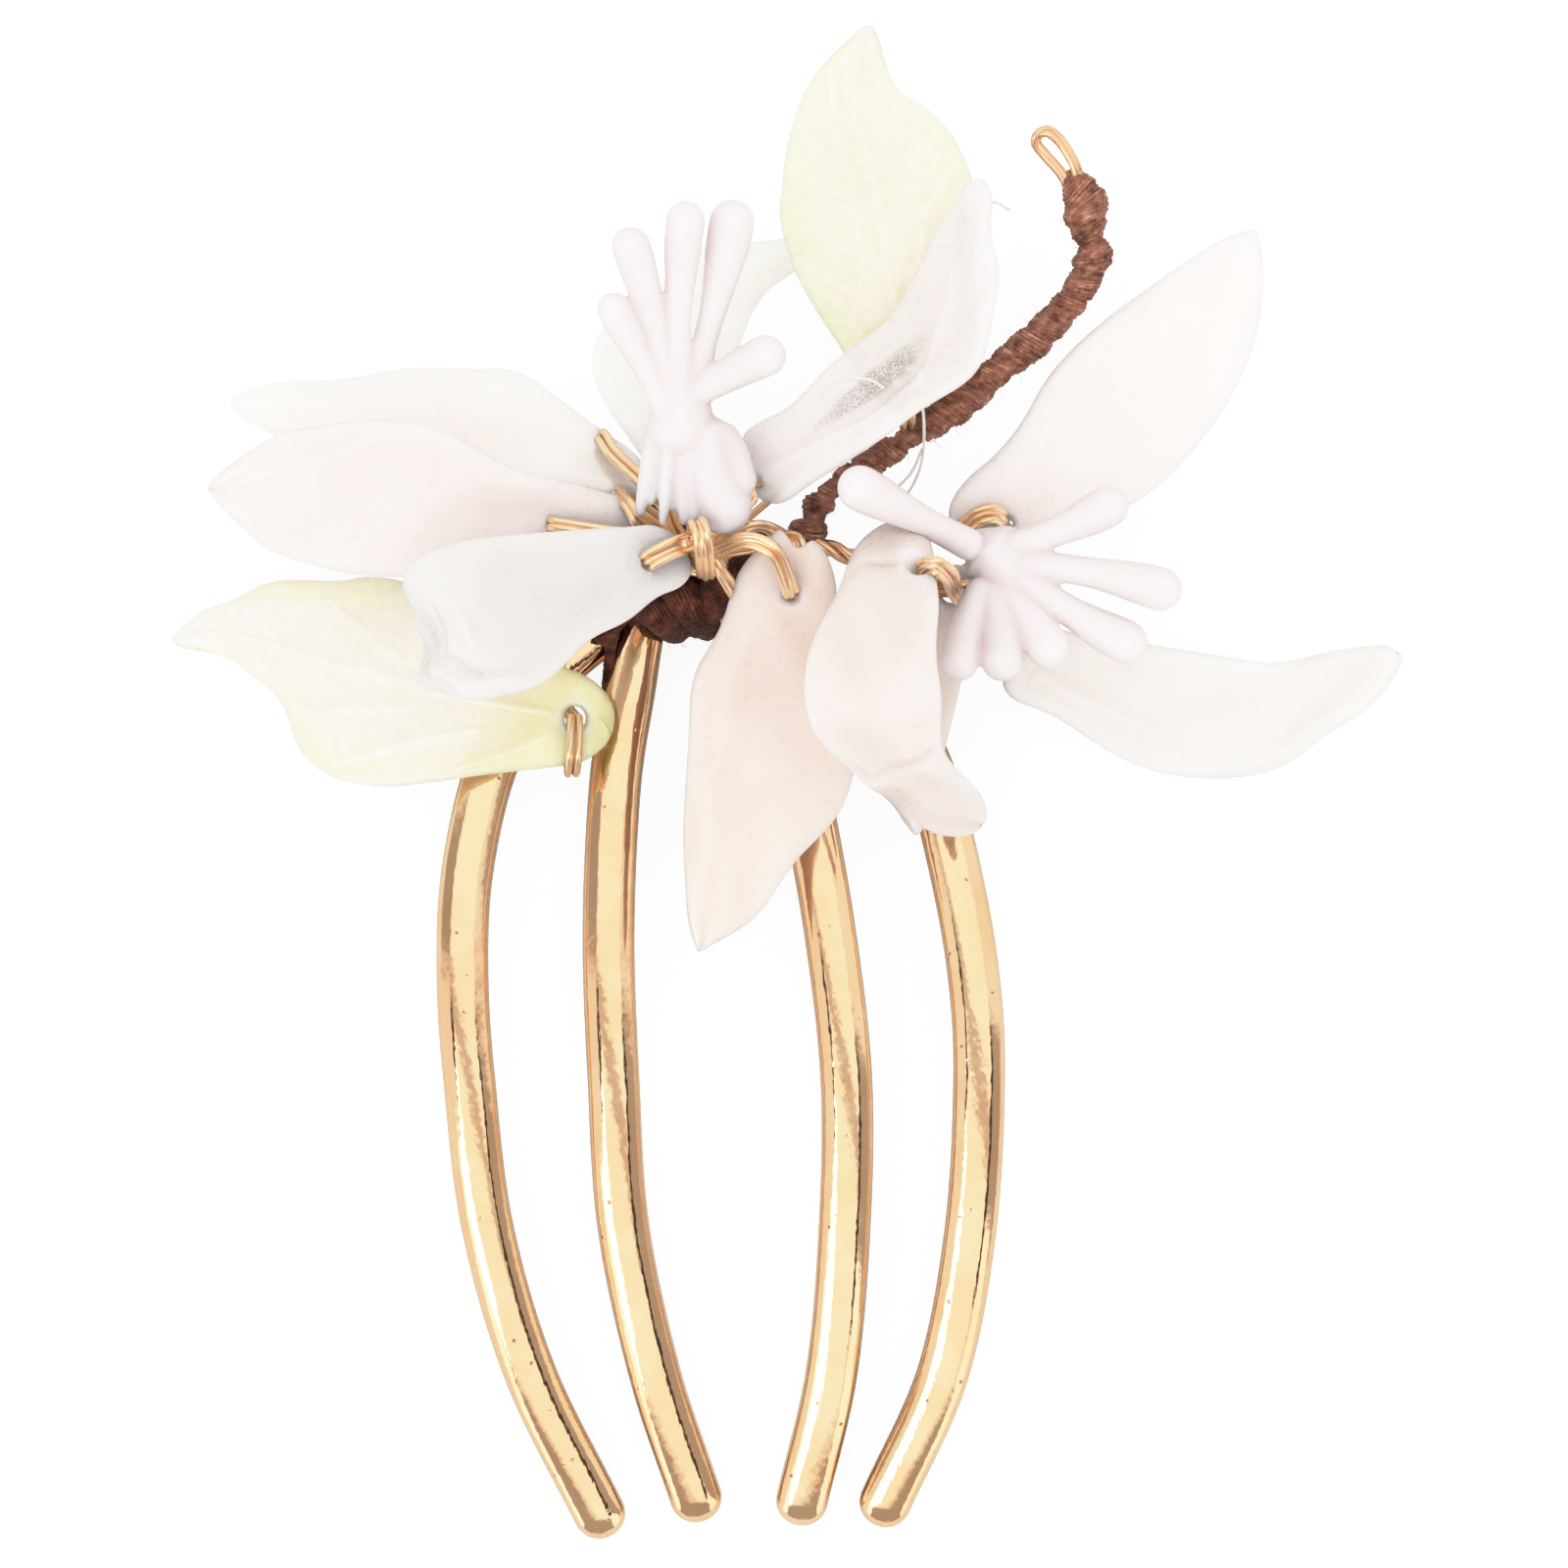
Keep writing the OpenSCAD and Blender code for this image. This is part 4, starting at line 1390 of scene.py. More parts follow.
def leaves() -> dict[str, Blade]:
    """The two leaves.

    Returns:
        The leaves by their CAD nodes.
    """
    blades = (
        Blade("leaf_upper", ((7.5, 22.7, 9.6), (6.9, 27.2, 9.6), (6.2, 32, 9.4), (5.6, 36.6, 9),
                             (4.3, 41.6, 8.6), (5.2, 46.2, 8.6)), (12, 0.4, 0.5, 1.9, 0.25), cup=(12, 12),
              thick=1.1, rings=150, steps=64, hole_r=0.85,
              pushes=(Push(805, 180, 52, -7, 0), Push(975, 350, 50, 26, 10)),
              ridges=veins(5, 0.16, 0.14, 0.2),
              seen_ridges=(Ridge(((988, 162), (960, 190), (945, 220), (938, 290)), 0.4, 0.2),
                           Ridge(((852, 75), (868, 180), (880, 300)), 0.3, 0.12))),
        Blade("leaf_lower", ((-10.3, 3.8, 8.2), (-15.5, 4.2, 8.2), (-21.6, 5.6, 6.6), (-27.6, 6.9, 4.2),
                             (-33, 9.3, 1.8), (-37.5, 8.8, 0.8)), (12.8, 0.4, 0.5, 2.3, 0.2), cup=(12, 12),
              thick=1.1, rings=150, steps=64, hole_r=0.75,
              pushes=(Push(262, 730, 52, 27, -21), Push(238, 602, 30, 2, 9), Push(500, 797, 80, 0, -7)),
              seen_ridges=(Ridge(((200, 648), (265, 655), (300, 665), (380, 685), (440, 705), (560, 728)),
                                 0.22, 0.28),
                           Ridge(((340, 612), (372, 640), (405, 668)), 0.19, 0.26),
                           Ridge(((262, 622), (300, 640), (330, 672)), 0.19, 0.2),
                           Ridge(((300, 722), (360, 724), (425, 722)), 0.19, 0.26),
                           Ridge(((350, 778), (400, 765), (490, 747)), 0.19, 0.28),
                           Ridge(((470, 786), (520, 770), (560, 750)), 0.24, 0.16),
                           Ridge(((612, 735), (617, 742), (622, 752)), 0.14, 0.25))),
    )
    return {blade.node: blade for blade in blades}


# Stamens

Column = tuple[Number3, float, Number3, float]


@dataclass
class Stamens:
    """A moulded cluster of club-shaped stamens, melted together at their roots."""

    node: str
    columns: Sequence[Column]
    ribs: Sequence[Column] = ()
    stalk: float = 0.9
    club_length: float = 5.5
    voxel: float = 0.13

    def column(self, shell: Shell, row: Column, club: bool, lean: float) -> None:
        """Add one stamen to a shell.

        Args:
            shell: what it is added to.
            row: root, radius at the root, middle of the tip, radius of the tip.
            club: True for a thin stalk under a round tip.
            lean: sideways bend of the stalk.
        """
        root, tip = np.array(row[0], float), np.array(row[2], float)
        d = unit(tip - root)
        bow = unit(np.cross(d, (0.3, 0.2, 1.0))) * lean
        long = float(np.linalg.norm(tip - root))
        past = np.sin(np.linspace(0, math.pi / 2, 10)[1:]) * row[3] / long
        t = np.concatenate([np.linspace(0, 1, 40), 1 + past])
        inner = np.clip(t, 0, 1)
        if club:
            slim = min(self.stalk, row[3] * 0.8)
            club_share = np.clip((inner - 0.2) / 0.75, 0, 1) ** 1.5
            radius = mix(mix(row[1], slim, smooth_step(inner * 2.6)), row[3], smooth_step(club_share))
        else:
            radius = mix(row[1], row[3], inner)
        cap = np.clip((t - 1) * long / row[3], 0, 1)
        radius = np.where(t > 1, row[3] * np.sqrt(np.maximum(1 - cap ** 2, 0)), radius)
        side = unit(np.cross(d, (0.1, 0.9, 0.4)))
        up = np.cross(d, side)
        angle = np.linspace(0, math.tau, 20, endpoint=False)
        middle = root + d * (t * long)[:, None] + bow * (np.sin(inner * math.pi))[:, None]
        around = np.cos(angle)[None, :, None] * side + np.sin(angle)[None, :, None] * up
        index = shell.add(middle[:, None] + radius[:, None, None] * around)
        shell.net(index, around=True)
        ball = root - d * row[1] * 0.9
        end = shell.add(np.broadcast_to(ball, (len(angle), 3)).copy()[None])
        shell.net(np.vstack([end, index[:1]]), around=True)

    def build(self, material: Material) -> None:
        """Melt the columns into one skin and dress it.

        Args:
            material: the cluster's material.
        """
        shell = Shell()
        for k, row in enumerate(self.columns):
            long = float(np.linalg.norm(np.subtract(row[2], row[0])))
            self.column(shell, row, long > self.club_length, 0.25 * math.sin(k * 2.4))
        for row in self.ribs:
            self.column(shell, row, False, 0.1)
        piece = shell.piece(f"{self.node}_moulded")
        melt = piece.modifiers.new("melt", "REMESH")
        melt.mode = "VOXEL"
        melt.voxel_size = self.voxel * MM
        melt.use_smooth_shade = True
        soften = piece.modifiers.new("soften", "SMOOTH")
        soften.factor = 0.5
        soften.iterations = 12
        settle(piece)
        tidy_mesh(piece.data, 0.001 * MM)
        dress(piece, material, Slot.STAMEN, self.node)


def stamen_clusters() -> tuple[Stamens, Stamens]:
    """The two clusters.

    Returns:
        The left and the right cluster.
    """
    left = Stamens("stamens_a", (
        ((-6.9, 22.3, 15.8), 1.0, (-10.3, 28.7, 18.4), 1.05),
        ((-6.8, 23, 15.8), 1.0, (-9.25, 32.5, 19.3), 1.2),
        ((-6.3, 23.5, 16), 1.0, (-5.95, 34.1, 18.8), 1.2),
        ((-5.8, 23.5, 15.8), 1.1, (-3.15, 34, 17.3), 1.4),
        ((-5.6, 23.6, 16), 0.9, (-1.15, 25.9, 17.8), 1.3),
        ((-6.5, 24.3, 15.6), 1.6, (-6.3, 21.6, 15.2), 2.1),
        ((-5, 21.5, 15.2), 1.6, (-3.7, 16.9, 14.9), 1.8),
        ((-4.2, 21.2, 15), 1.3, (-2.8, 18.4, 15), 1.15),
    ), ribs=(
        ((-7.3, 22.4, 15.6), 0.9, (-8.75, 16.5, 14.8), 0.34),
        ((-7, 22, 16), 0.6, (-8, 17, 15.2), 0.2),
        ((-6.7, 22, 16.3), 0.6, (-7.35, 15.9, 15.4), 0.28),
        ((-6.4, 22, 16.2), 0.55, (-6.75, 16.7, 15.3), 0.2),
        ((-6.1, 21.8, 16.2), 0.7, (-6.1, 15.9, 15.3), 0.3),
        ((-5.7, 21.6, 16.2), 0.8, (-5.4, 16.1, 15.3), 0.5),
    ), stalk=0.74)
    right = Stamens("stamens_b", (
        ((11.4, 14.4, 15.6), 1.0, (4.6, 17.9, 18.4), 1.4),
        ((14, 14.4, 15.2), 0.95, (19.6, 16.8, 16.3), 1.3),
        ((14.6, 13.3, 15.2), 1.0, (22.8, 11.8, 16.6), 1.35),
        ((14.2, 12.6, 15.2), 1.0, (20.7, 8.6, 16.2), 1.35),
        ((13.4, 11.8, 15.2), 0.95, (16, 8.3, 16.7), 1.35),
        ((12.7, 11.8, 15.2), 0.9, (13.2, 7.5, 16.9), 1.3),
        ((12, 12, 15.2), 0.85, (10.6, 7.4, 17), 1.2),
        ((12.3, 14.2, 14.3), 2.0, (13.8, 12.9, 14.3), 2.1),
        ((12.5, 14.1, 14.9), 1.5, (13.4, 13.3, 15.1), 1.5),
    ))
    return left, right


# Wire


@dataclass(frozen=True)
class Ring:
    """Strands from a knot over a petal's root, through its hole and back behind it.

    The first rows are photo pixels and heights before the petal. The second are pixels over it and lifts
    above its middle; with none, the strands stay clear of the petal. The level is the place in the row
    of points at which the strands lie side by side, seen from the front.
    """

    key: str
    free: Sequence[Number3]
    over: Sequence[Number3]
    count: int
    spread: float = 1.0
    level: Optional[float] = None


@dataclass
class Wiring:
    """The gold wire: rings through the petals and leaves, knots, the twisted stem and the eye.

    The gaps lie between a petal's back and its ring, at its root and its hole. From the root the ring
    sags on its way to the knot. Inside the hole it sinks below the middle of the wall. A wander of the
    strands has a size, the radians that it runs through along them and those from strand to strand.
    """

    blades: dict[str, Blade]
    material: Material
    rose: Material
    tube: Recipe
    winding: Recipe
    radius: float = 0.24
    pitch: float = 0.46
    knot_a: tuple[float, float, float] = (-4.8, 14, 7.2)
    knot_b: tuple[float, float, float] = (12.6, 12, 6.6)
    knot_r: float = 1.5
    root_place: float = 0.02
    root_gap: float = 1.4
    hole_gap: float = 0.9
    sag: float = 1.0
    sink: float = 0.2
    wander: Sequence[Number3] = ((0.09, 7, 2.3), (0.05, 17, 4.1))
    rings: Sequence[Ring] = (
        Ring("a1", ((692, 545, 9.8), (680, 519, 11.4), (663, 498, 12), (643, 479, 11.6), (625, 462, 11)),
             ((613, 450, 0.8),), 2, 1.15, 4),
        Ring("a2", ((690, 557, 11),),
             ((652, 549, 1.5), (610, 541, 1.3), (578, 535, 1.2), (561, 533, 0.8)), 2),
        Ring("a3", ((712, 546, 14.4), (700, 551, 16)), ((688, 558, 1.6), (672, 567, 1.6), (656, 576, 0.9)),
             3, 0.9),
        Ring("a4", ((738, 540, 10), (757, 520, 13), (769, 510, 13.4)), ((776, 501, 0.9),), 1),
        Ring("a5", ((706, 530, 8),), ((695, 480, 1.2), (690, 470, 1.0)), 2),
        Ring("a6", ((727, 564, 13.2), (742, 557, 14.8), (759, 551, 15.8), (777, 554, 16.2),
                    (793, 566, 16.2)), ((804, 584, 2.0), (808, 600, 1.2)), 3, 0.62),
        Ring("b1", ((990, 556, 8), (982, 543, 10)),
             ((989, 533, 1.6), (1000, 526, 1.8), (1013, 525, 1.6), (1023, 531, 1.0)), 3, 0.8),
        Ring("b2", ((1036, 640, 9),), ((1050, 651, 0.8),), 1),
        Ring("b3", ((982, 610, 13), (973, 599, 16.6), (968, 588, 19), (958, 579, 20.2), (946, 578, 19.8),
                    (940, 586, 18), (948, 599, 13.6)), (), 3, 0.8, 3.6),
        Ring("b4", ((996, 596, 12),), ((984, 594, 0.8),), 1),
    )
    stem: Sequence[Number3] = (
        (-0.4, 14.4, 5.6), (1.2, 14.7, 6.8), (2.9, 14.3, 7), (4.8, 13.6, 7), (7.6, 13, 6.8),
        (10.4, 12.5, 6.6),
    )
    post: Sequence[Number3] = ((13.2, 12.6, 8.3), (13.6, 12.9, 10.5), (13.6, 13, 12.8), (13.6, 13, 14.2))
    eye: Sequence[Number3] = (
        (17.5, 36, 10.6), (16.8, 37.2, 10.8), (15.9, 38.2, 11), (15.35, 38.9, 11.2), (15.45, 39.45, 11.4),
        (16, 39.65, 11.4), (16.65, 39.2, 11.3), (17.25, 38.4, 11.2), (17.8, 37.3, 11), (17.8, 36, 10.6),
    )
    gathered: Sequence[tuple[int, float, Sequence[Number3]]] = (
        (3, 0.75, ((716, 575, 9), (709, 552, 14), (711, 533, 16.8), (716, 545, 17.8), (719, 570, 17),
                   (720, 588, 14), (722, 580, 9))),
        (2, 0.75, ((700, 560, 9), (712, 566, 12.5), (728, 574, 14), (741, 592, 13.6), (753, 610, 12),
                   (760, 600, 8))),
        (2, 0.8, ((728, 562, 10), (752, 543, 12.5), (776, 537, 12.6), (795, 545, 11.5), (815, 560, 8),
                  (822, 566, 6))),
        (2, 1.0, ((628, 500, 10.4), (635, 508, 12.6), (643, 518, 14.4), (652, 533, 14.4), (668, 548, 12),
                  (690, 558, 9))),
    )
    lower_stem: Sequence[Number3] = (
        (-6.2, 13.4, 7.6), (-9.6, 12.2, 7.4), (-12.4, 9.8, 6.8), (-13.7, 7.4, 6.2), (-13.9, 5.6, 6.2),
    )
    lower_loop: Sequence[Pair] = (
        (0, 1), (0.45, 1.35), (0.95, 1.2), (1.2, 0), (0.95, -1.2), (0.45, -1.2),
    )
    upper_loop: Sequence[Number3] = (
        (0, -0.6, -2.2), (0, 0.2, 0), (0, -0.4, 1.2), (0, -2.6, 0.6), (0, -2.8, -1.6), (0, -0.6, -2.6),
    )

    def strands(self, line: Sequence[Number3], count: int, first: Number3 = (0, 0, 1), spread: float = 1.0,
                start: float = 0.5) -> list[Array]:
        """Paths of strands side by side along a line.

        Args:
            line: points of the bundle's middle line.
            count: number of strands.
            first: front direction of the bundle at the start.
            spread: widening of the bundle.
            start: share of the line at which the strands lie side by side, seen from the front.

        Returns:
            The paths.
        """
        path = Curve(line).spread(12 * (len(line) - 1))
        normals = carried_normals(path, first, round(start * (len(path) - 1)))
        sides = np.cross(path_directions(path), normals)
        t = np.linspace(0, 1, len(path))
        found = []
        for k in range(count):
            shift = (k - (count - 1) / 2) * self.pitch * spread
            wander = sum(size * np.sin(t * turn + k * phase) for size, turn, phase in self.wander)
            found.append(path + sides * (shift + 0.4 * wander)[:, None] + normals * wander[:, None])
        return found

    def run(self, node: str, paths: Sequence[Array], material: Optional[Material] = None) -> None:
        """Make tubes along the paths, as the piece that stands for a CAD node.

        Args:
            node: the CAD node.
            paths: the strands' middle lines.
            material: the wire's material, if it isn't the usual one.
        """
        material = material or self.material
        piece = path_object(f"{node}_strands", paths)
        self.tube.apply(piece, Radius=self.radius * MM, Sides=12, Material=material)
        dress(piece, material, Slot.WIRE, node)

    def wound(self, name: str, paths: Sequence[Array], cores: Sequence[Array], node: str, **how: float
              ) -> None:
        """Wind strands round paths at the core distances, as the piece that stands for a CAD node.

        Args:
            name: the piece's name.
            paths: the middle lines.
            cores: distances of the strands from them.
            node: the CAD node.
            how: further inputs of the winding tree.
        """
        piece = path_object(name, paths, cores)
        self.winding.apply(piece, Radius=self.radius * MM, Flatness=0.0, Material=self.material, **how)
        dress(piece, self.material, Slot.WIRE, node)

    def ring(self, row: Ring) -> None:
        """Make the strands that hold one petal.

        Args:
            row: the strands' way.
        """
        petal = self.blades[f"petal_{row.key}"]
        anchor = np.array(self.knot_a if row.key[0] == "a" else self.knot_b)
        line = [anchor, *seen_path(row.free)]
        if row.over:
            back = -petal.thick / 2
            under = petal.above(self.root_place, 0.0, back - self.root_gap)
            low = (under + anchor) / 2 - np.array((0, 0, self.sag))
            line += [petal.over(*spot) for spot in row.over]
            line += [petal.above(*petal.hole, lift) for lift in (-self.sink, back - self.hole_gap)]
            line += [under, low]
        line.append(anchor)
        level = len(row.free) + (len(row.over) + 1) / 2 if row.level is None else row.level
        paths = self.strands(line, row.count, spread=row.spread, start=level / (len(line) - 1))
        self.run(f"wire_{row.key}", paths)

    def twist(self, name: str, line: Sequence[Number3], turns: float, strands: int, core: float, node: str
              ) -> None:
        """Strands twisted about a line at the core distance, with turns over its whole length.

        Args:
            name: the piece's name.
            line: points of the middle line.
            turns: number of turns.
            strands: number of strands.
            core: distance of the strands from the line.
            node: the CAD node.
        """
        path = Curve(line).spread(60)
        self.wound(name, [path], [np.full(len(path), core)], node, Turns=turns, Strands=strands, Steps=160,
                   Sides=10, Tilt=0.0, Wobble=0.0, Seed=1.0)

    def ball(self, node: str, middle: Number3, lean: Sequence[Number3]) -> None:
        """A knot of gathered wire: windings over a ball, in a few directions.

        Args:
            node: the CAD node.
            middle: middle of the ball.
            lean: axis of the windings in each layer.
        """
        paths, cores = [], []
        t = np.linspace(-1, 1, 41)
        for direction in lean:
            axis = unit(np.array(direction, float))
            paths.append(np.array(middle) + axis * (t * self.knot_r * 0.92)[:, None])
            cores.append(np.sqrt(np.maximum(1 - (t * 0.95) ** 2, 0)) * (self.knot_r - self.radius))
        self.wound(f"{node}_windings", paths, cores, node, Turns=6.0, Strands=1, Steps=150, Sides=8,
                   Tilt=0.15, Wobble=0.1 * MM, Seed=3.0)

    def ties(self) -> None:
        """Make the wires that hold both leaves."""
        leaf = self.blades["leaf_lower"]
        u, v = leaf.hole
        loop = [leaf.above(u, v + side, lift) for side, lift in self.lower_loop]
        through = (leaf.above(u, v, -1.2), leaf.above(u, v, 0.0))
        line = [*self.lower_stem, *through, *loop, leaf.above(u, v, -1.4)]
        start = (len(self.lower_stem) + 3) / (len(line) - 1)
        self.run("tie_lower", self.strands(line, 2, start=start))
        leaf = self.blades["leaf_upper"]
        loop = [leaf.above(*leaf.hole, 0.0) + np.array(p) for p in self.upper_loop]
        self.run("tie_upper", self.strands(loop, 2, (0, 1, 0), start=0))

    def build(self) -> None:
        """Make every wire."""
        for row in self.rings:
            self.ring(row)
        self.twist("stem_b_twisted", self.stem, 2.4, 3, self.radius * 1.4, "stem_b")
        self.run("branch_wire", self.strands(self.eye, 2, spread=0.5), self.rose)
        self.twist("stamen_post", self.post, 3, 2, self.radius, "stamen_wire_b")
        self.ball("knot_a", self.knot_a, ((1, 0.2, 0.1), (0.2, 1, 0.2), (0.1, 0.3, 1)))
        self.ball("knot_b", self.knot_b, ((1, -0.2, 0.2), (0.1, 1, -0.2), (0.3, 0.1, 1)))
        paths = []
        for count, spread, rows in self.gathered:
            paths += self.strands(seen_path(rows), count, spread=spread)
        self.run("stamen_wire_a", paths)
        self.ties()


# Thread


@dataclass(frozen=True)
class Layer:
    """One layer of thread, wound round a bar. Its radius, unevenness and lift are in millimetres."""

    turns: float
    steps: int
    tilt: float
    seed: float
    radius: float = 0.17
    wobble: float = 0.12
    lift: float = 0.0
    strands: int = 1


@dataclass
class Threads:
    """The brown thread: a lump round the arch and the bound branch, with loose fibres. The lump has a darker
    copy of the thread's material: painted shade.

    The rows hold photo pixels, a height and a radius, the last two in millimetres. A bundle has a
    radius and the photo pixels and heights of its line.
    """

    light: Material
    # darker copy of the floss, for the lump: painted shade
    lump_shade_floss: Material
    winding: Recipe
    fuzz: Recipe
    fibre_r: float = 0.014
    fibre_density: float = 6.0e5
    branch_fibre: float = 0.5
    lump_fibre: float = 0.36
    branch_steps: int = 600
    lump_steps: int = 60
    band: Pair = (1.0, 1.9)
    branch_layers: Sequence[Layer] = (
        Layer(150, 2700, 0.3, 2.0, wobble=0.16),
        Layer(46, 820, 0.2, 5.0, 0.11, lift=0.09),
        Layer(30, 560, 0.4, 8.0, 0.08, lift=0.09),
    )
    branch: Sequence[Number4] = (
        (792, 566, 5.4, 0.8), (812, 552, 6, 0.9), (826, 540, 6.6, 1.15), (831, 527, 6.9, 0.75),
        (836, 514, 7.1, 1.05), (848, 500, 7.2, 0.65), (864, 489, 7.4, 0.9), (890, 472, 7.6, 0.98),
        (912, 457, 7.7, 0.92), (926, 447, 7.8, 0.72), (940, 438, 7.9, 1.05), (958, 426, 7.9, 1.14),
        (984, 409, 8, 1.16), (1016, 379, 8.1, 1.04), (1034, 365, 8.2, 1.12), (1048, 354, 8.3, 1.18),
        (1076, 326, 8.6, 1.07), (1099, 299, 9, 1.06), (1110, 278, 9.3, 1.1), (1115, 262, 9.6, 1.32),
        (1112, 244, 9.9, 0.95), (1110, 226, 10.1, 1.35), (1106, 206, 10.3, 1.52), (1097, 190, 10.5, 1.05),
        (1089, 178, 10.6, 0.6),
    )
    lump: Sequence[Number4] = (
        (636, 622, 3, 1.8), (665, 612, 3, 2.3), (692, 602, 3, 2.5), (720, 592, 3, 2.4), (748, 584, 3, 1.9),
    )
    bundles: Sequence[tuple[float, Sequence[Number3]]] = (
        (1.25, ((776, 545, 2.4), (765, 562, 4.6), (748, 584, 5.6), (730, 608, 5.6), (716, 626, 4.4),
                (710, 637, 2.4))),
        (1.2, ((662, 566, 3.4), (678, 585, 5.2), (696, 608, 5.8), (712, 626, 4.9), (722, 640, 2.4))),
        (1.15, ((640, 590, 3.2), (652, 608, 5), (670, 624, 5.4), (684, 637, 3.8), (691, 643, 2))),
        (1.1, ((674, 516, 4), (690, 535, 5.2), (704, 556, 5.6), (718, 584, 5.2))),
        (0.62, ((654, 612, 4.8), (636, 626, 5.5), (621, 642, 5.6), (613, 656, 5.4))),
        (0.34, ((632, 630, 5.2), (624, 656, 4.8), (621, 682, 4.6), (618, 708, 4.5))),
    )

    def course(self, rows: Sequence[Number4], steps: int) -> tuple[Array, Array]:
        """Points of a bar's middle line and its radii, from rows."""
        line = Curve(seen_path([row[:3] for row in rows])).spread(steps)
        return line, Curve([row[3:] * 3 for row in rows]).spread(steps)[:, 0]

    def core(self, path: Array, radii: Array) -> Piece:
        """Round bar under the windings, with a radius for each point of its path.

        Args:
            path: points of the bar's middle line.
            radii: one radius for each point.

        Returns:
            The bar.
        """
        normals = carried_normals(path)
        angle = np.linspace(0, math.tau, 24, endpoint=False)
        across = np.cross(path_directions(path), normals)
        cosine, sine = np.cos(angle)[None, :, None], np.sin(angle)[None, :, None]
        ring = path[:, None] + radii[:, None, None] * (cosine * normals[:, None] + sine * across[:, None])
        shell = Shell()
        index = shell.add(ring, along=np.zeros(ring.shape[:2]), around=angle / math.tau)
        shell.net(index, around=True)
        shell.faces += [tuple(index[0][::-1]), tuple(index[-1])]
        return shell.piece("thread_core")

    def wind(self, path: Array, radii: Array, layer: Layer) -> Piece:
        """Wind one layer of thread.

        Args:
            path: middle line.
            radii: distance of the thread from it at each point, before the layer's lift.
            layer: the layer.

        Returns:
            The layer's piece.
        """
        piece = path_object("thread_layer", [path], [radii + layer.lift])
        return self.winding.apply(piece, Turns=layer.turns, Strands=layer.strands, Steps=layer.steps,
                                  Radius=layer.radius * MM, Sides=6, Tilt=layer.tilt,
                                  Wobble=layer.wobble * MM, Flatness=0.5, Seed=layer.seed,
                                  Material=self.light)

    def finish(self, name: str, parts: Sequence[Piece], length: float,
               material: Material, node: str) -> None:
        """Join layers, grow fibres on them and dress the piece.

        Args:
            name: the piece's name.
            parts: the core and its layers.
            length: length of the fibres.
            material: the piece's material.
            node: CAD node that it stands for.
        """
        mesh = self.joined(name, parts)
        fibres = place(mesh.copy(), f"{name}_fibres")
        self.fuzz.apply(fibres, Density=self.fibre_density, Length=length * MM, Radius=self.fibre_r * MM,
                        Seed=11, Material=material)
        whole = self.joined(name, (place(mesh, name), fibres))
        for polygon in whole.polygons:
            polygon.use_smooth = True
        dress(place(whole, name), material, Slot.THREAD, node)

    def joined(self, name: str, parts: Sequence[Piece]) -> Mesh:
        """One mesh made of the parts, which are taken out of the file.

        Args:
            name: the mesh's name.
            parts: the parts.

        Returns:
            The mesh.
        """
        work = bmesh.new()
        for part in parts:
            work.from_mesh(part.data)
            remove(part)
        mesh = bpy.data.meshes.new(name)
        work.to_mesh(mesh)
        work.free()
        return mesh

    def banded(self, path: Array, radii: Array) -> Array:
        """Radii with a swelling for each overlapping band of thread.

        Args:
            path: points of the middle line.
            radii: one radius for each point.

        Returns:
            The new radii.
        """
        steps = np.linalg.norm(np.diff(path, axis=0), axis=1)
        s = np.concatenate([[0], np.cumsum(steps)])
        random = np.random.default_rng(4)
        edges = np.cumsum(random.uniform(*self.band, int(s[-1] / self.band[0]) + 2))
        k = np.searchsorted(edges, s)
        start = np.concatenate([[0], edges])[k]
        share = (s - start) / (edges[k] - start)
        level = random.uniform(-0.03, 0.03, len(edges))[k]
        return radii - 0.4 + level + 0.2 * (1 - np.abs(2 * share - 0.97) ** 2.6)

    def build(self) -> None:
        """Make the branch and the lump."""
        path, radii = self.course(self.branch, self.branch_steps)
        radii = self.banded(path, radii)
        layers = [self.core(path, radii), *(self.wind(path, radii, layer) for layer in self.branch_layers)]
        self.finish("branch_bound", layers, self.branch_fibre, self.light, "branch_wrap")
        layers = [self.core(*self.course(self.lump, self.lump_steps))]
        slim = np.sin(np.linspace(0.12, 0.88, self.lump_steps + 1) * math.pi) ** 0.35
        for k, (size, spots) in enumerate(self.bundles):
            path = Curve(seen_path(spots)).spread(self.lump_steps)
            strands = 26 if size > 1 else 12
            layer = Layer(0.8 - 0.3 * (k % 2), 90, 0.0, 3.0 + k, wobble=0.2, strands=strands)
            layers += [self.core(path, size * 0.85 * slim), self.wind(path, (size - 0.18) * slim, layer)]
        # The lump gets the darker copy of the floss: painted shade over the whole lump.
        self.finish("lump_bound", layers, self.lump_fibre, self.lump_shade_floss, "comb_wrap")


@dataclass
class Glue:
    """Thin strings of clear glue that hang on the petals."""

    material: Material
    tube: Recipe
    radius: float = 0.095
    lines: Sequence[Sequence[Number3]] = (
        ((838, 406, 15.6), (850, 393, 16.6), (870, 386, 17.2), (888, 388, 17.4), (902, 396, 17)),
        ((934, 392, 16.6), (941, 414, 16.8), (943, 440, 15.6), (941, 468, 14.4), (934, 490, 14),
         (922, 508, 15), (904, 520, 16.6)),
        ((941, 458, 14.6), (930, 482, 14.4), (912, 500, 15.4), (896, 508, 16.8)),
        ((1010, 206, 13.4), (1018, 207, 13.6), (1024, 211, 13.4), (1030, 214, 13)),
    )

    def build(self) -> None:
        """Make the strings."""
        piece = path_object("glue_strings", [Curve(seen_path(line)).spread(40) for line in self.lines])
        self.tube.apply(piece, Radius=self.radius * MM, Sides=8, Material=self.material)
        dress(piece, self.material, Slot.PETAL)


# Studio


@dataclass(frozen=True)
class Panel:
    """A soft panel or a dark gap of the studio that the metal mirrors, by its direction's x and y."""

    left: float
    right: float
    low: float
    high: float
    light: float
    soft: float = 0.02


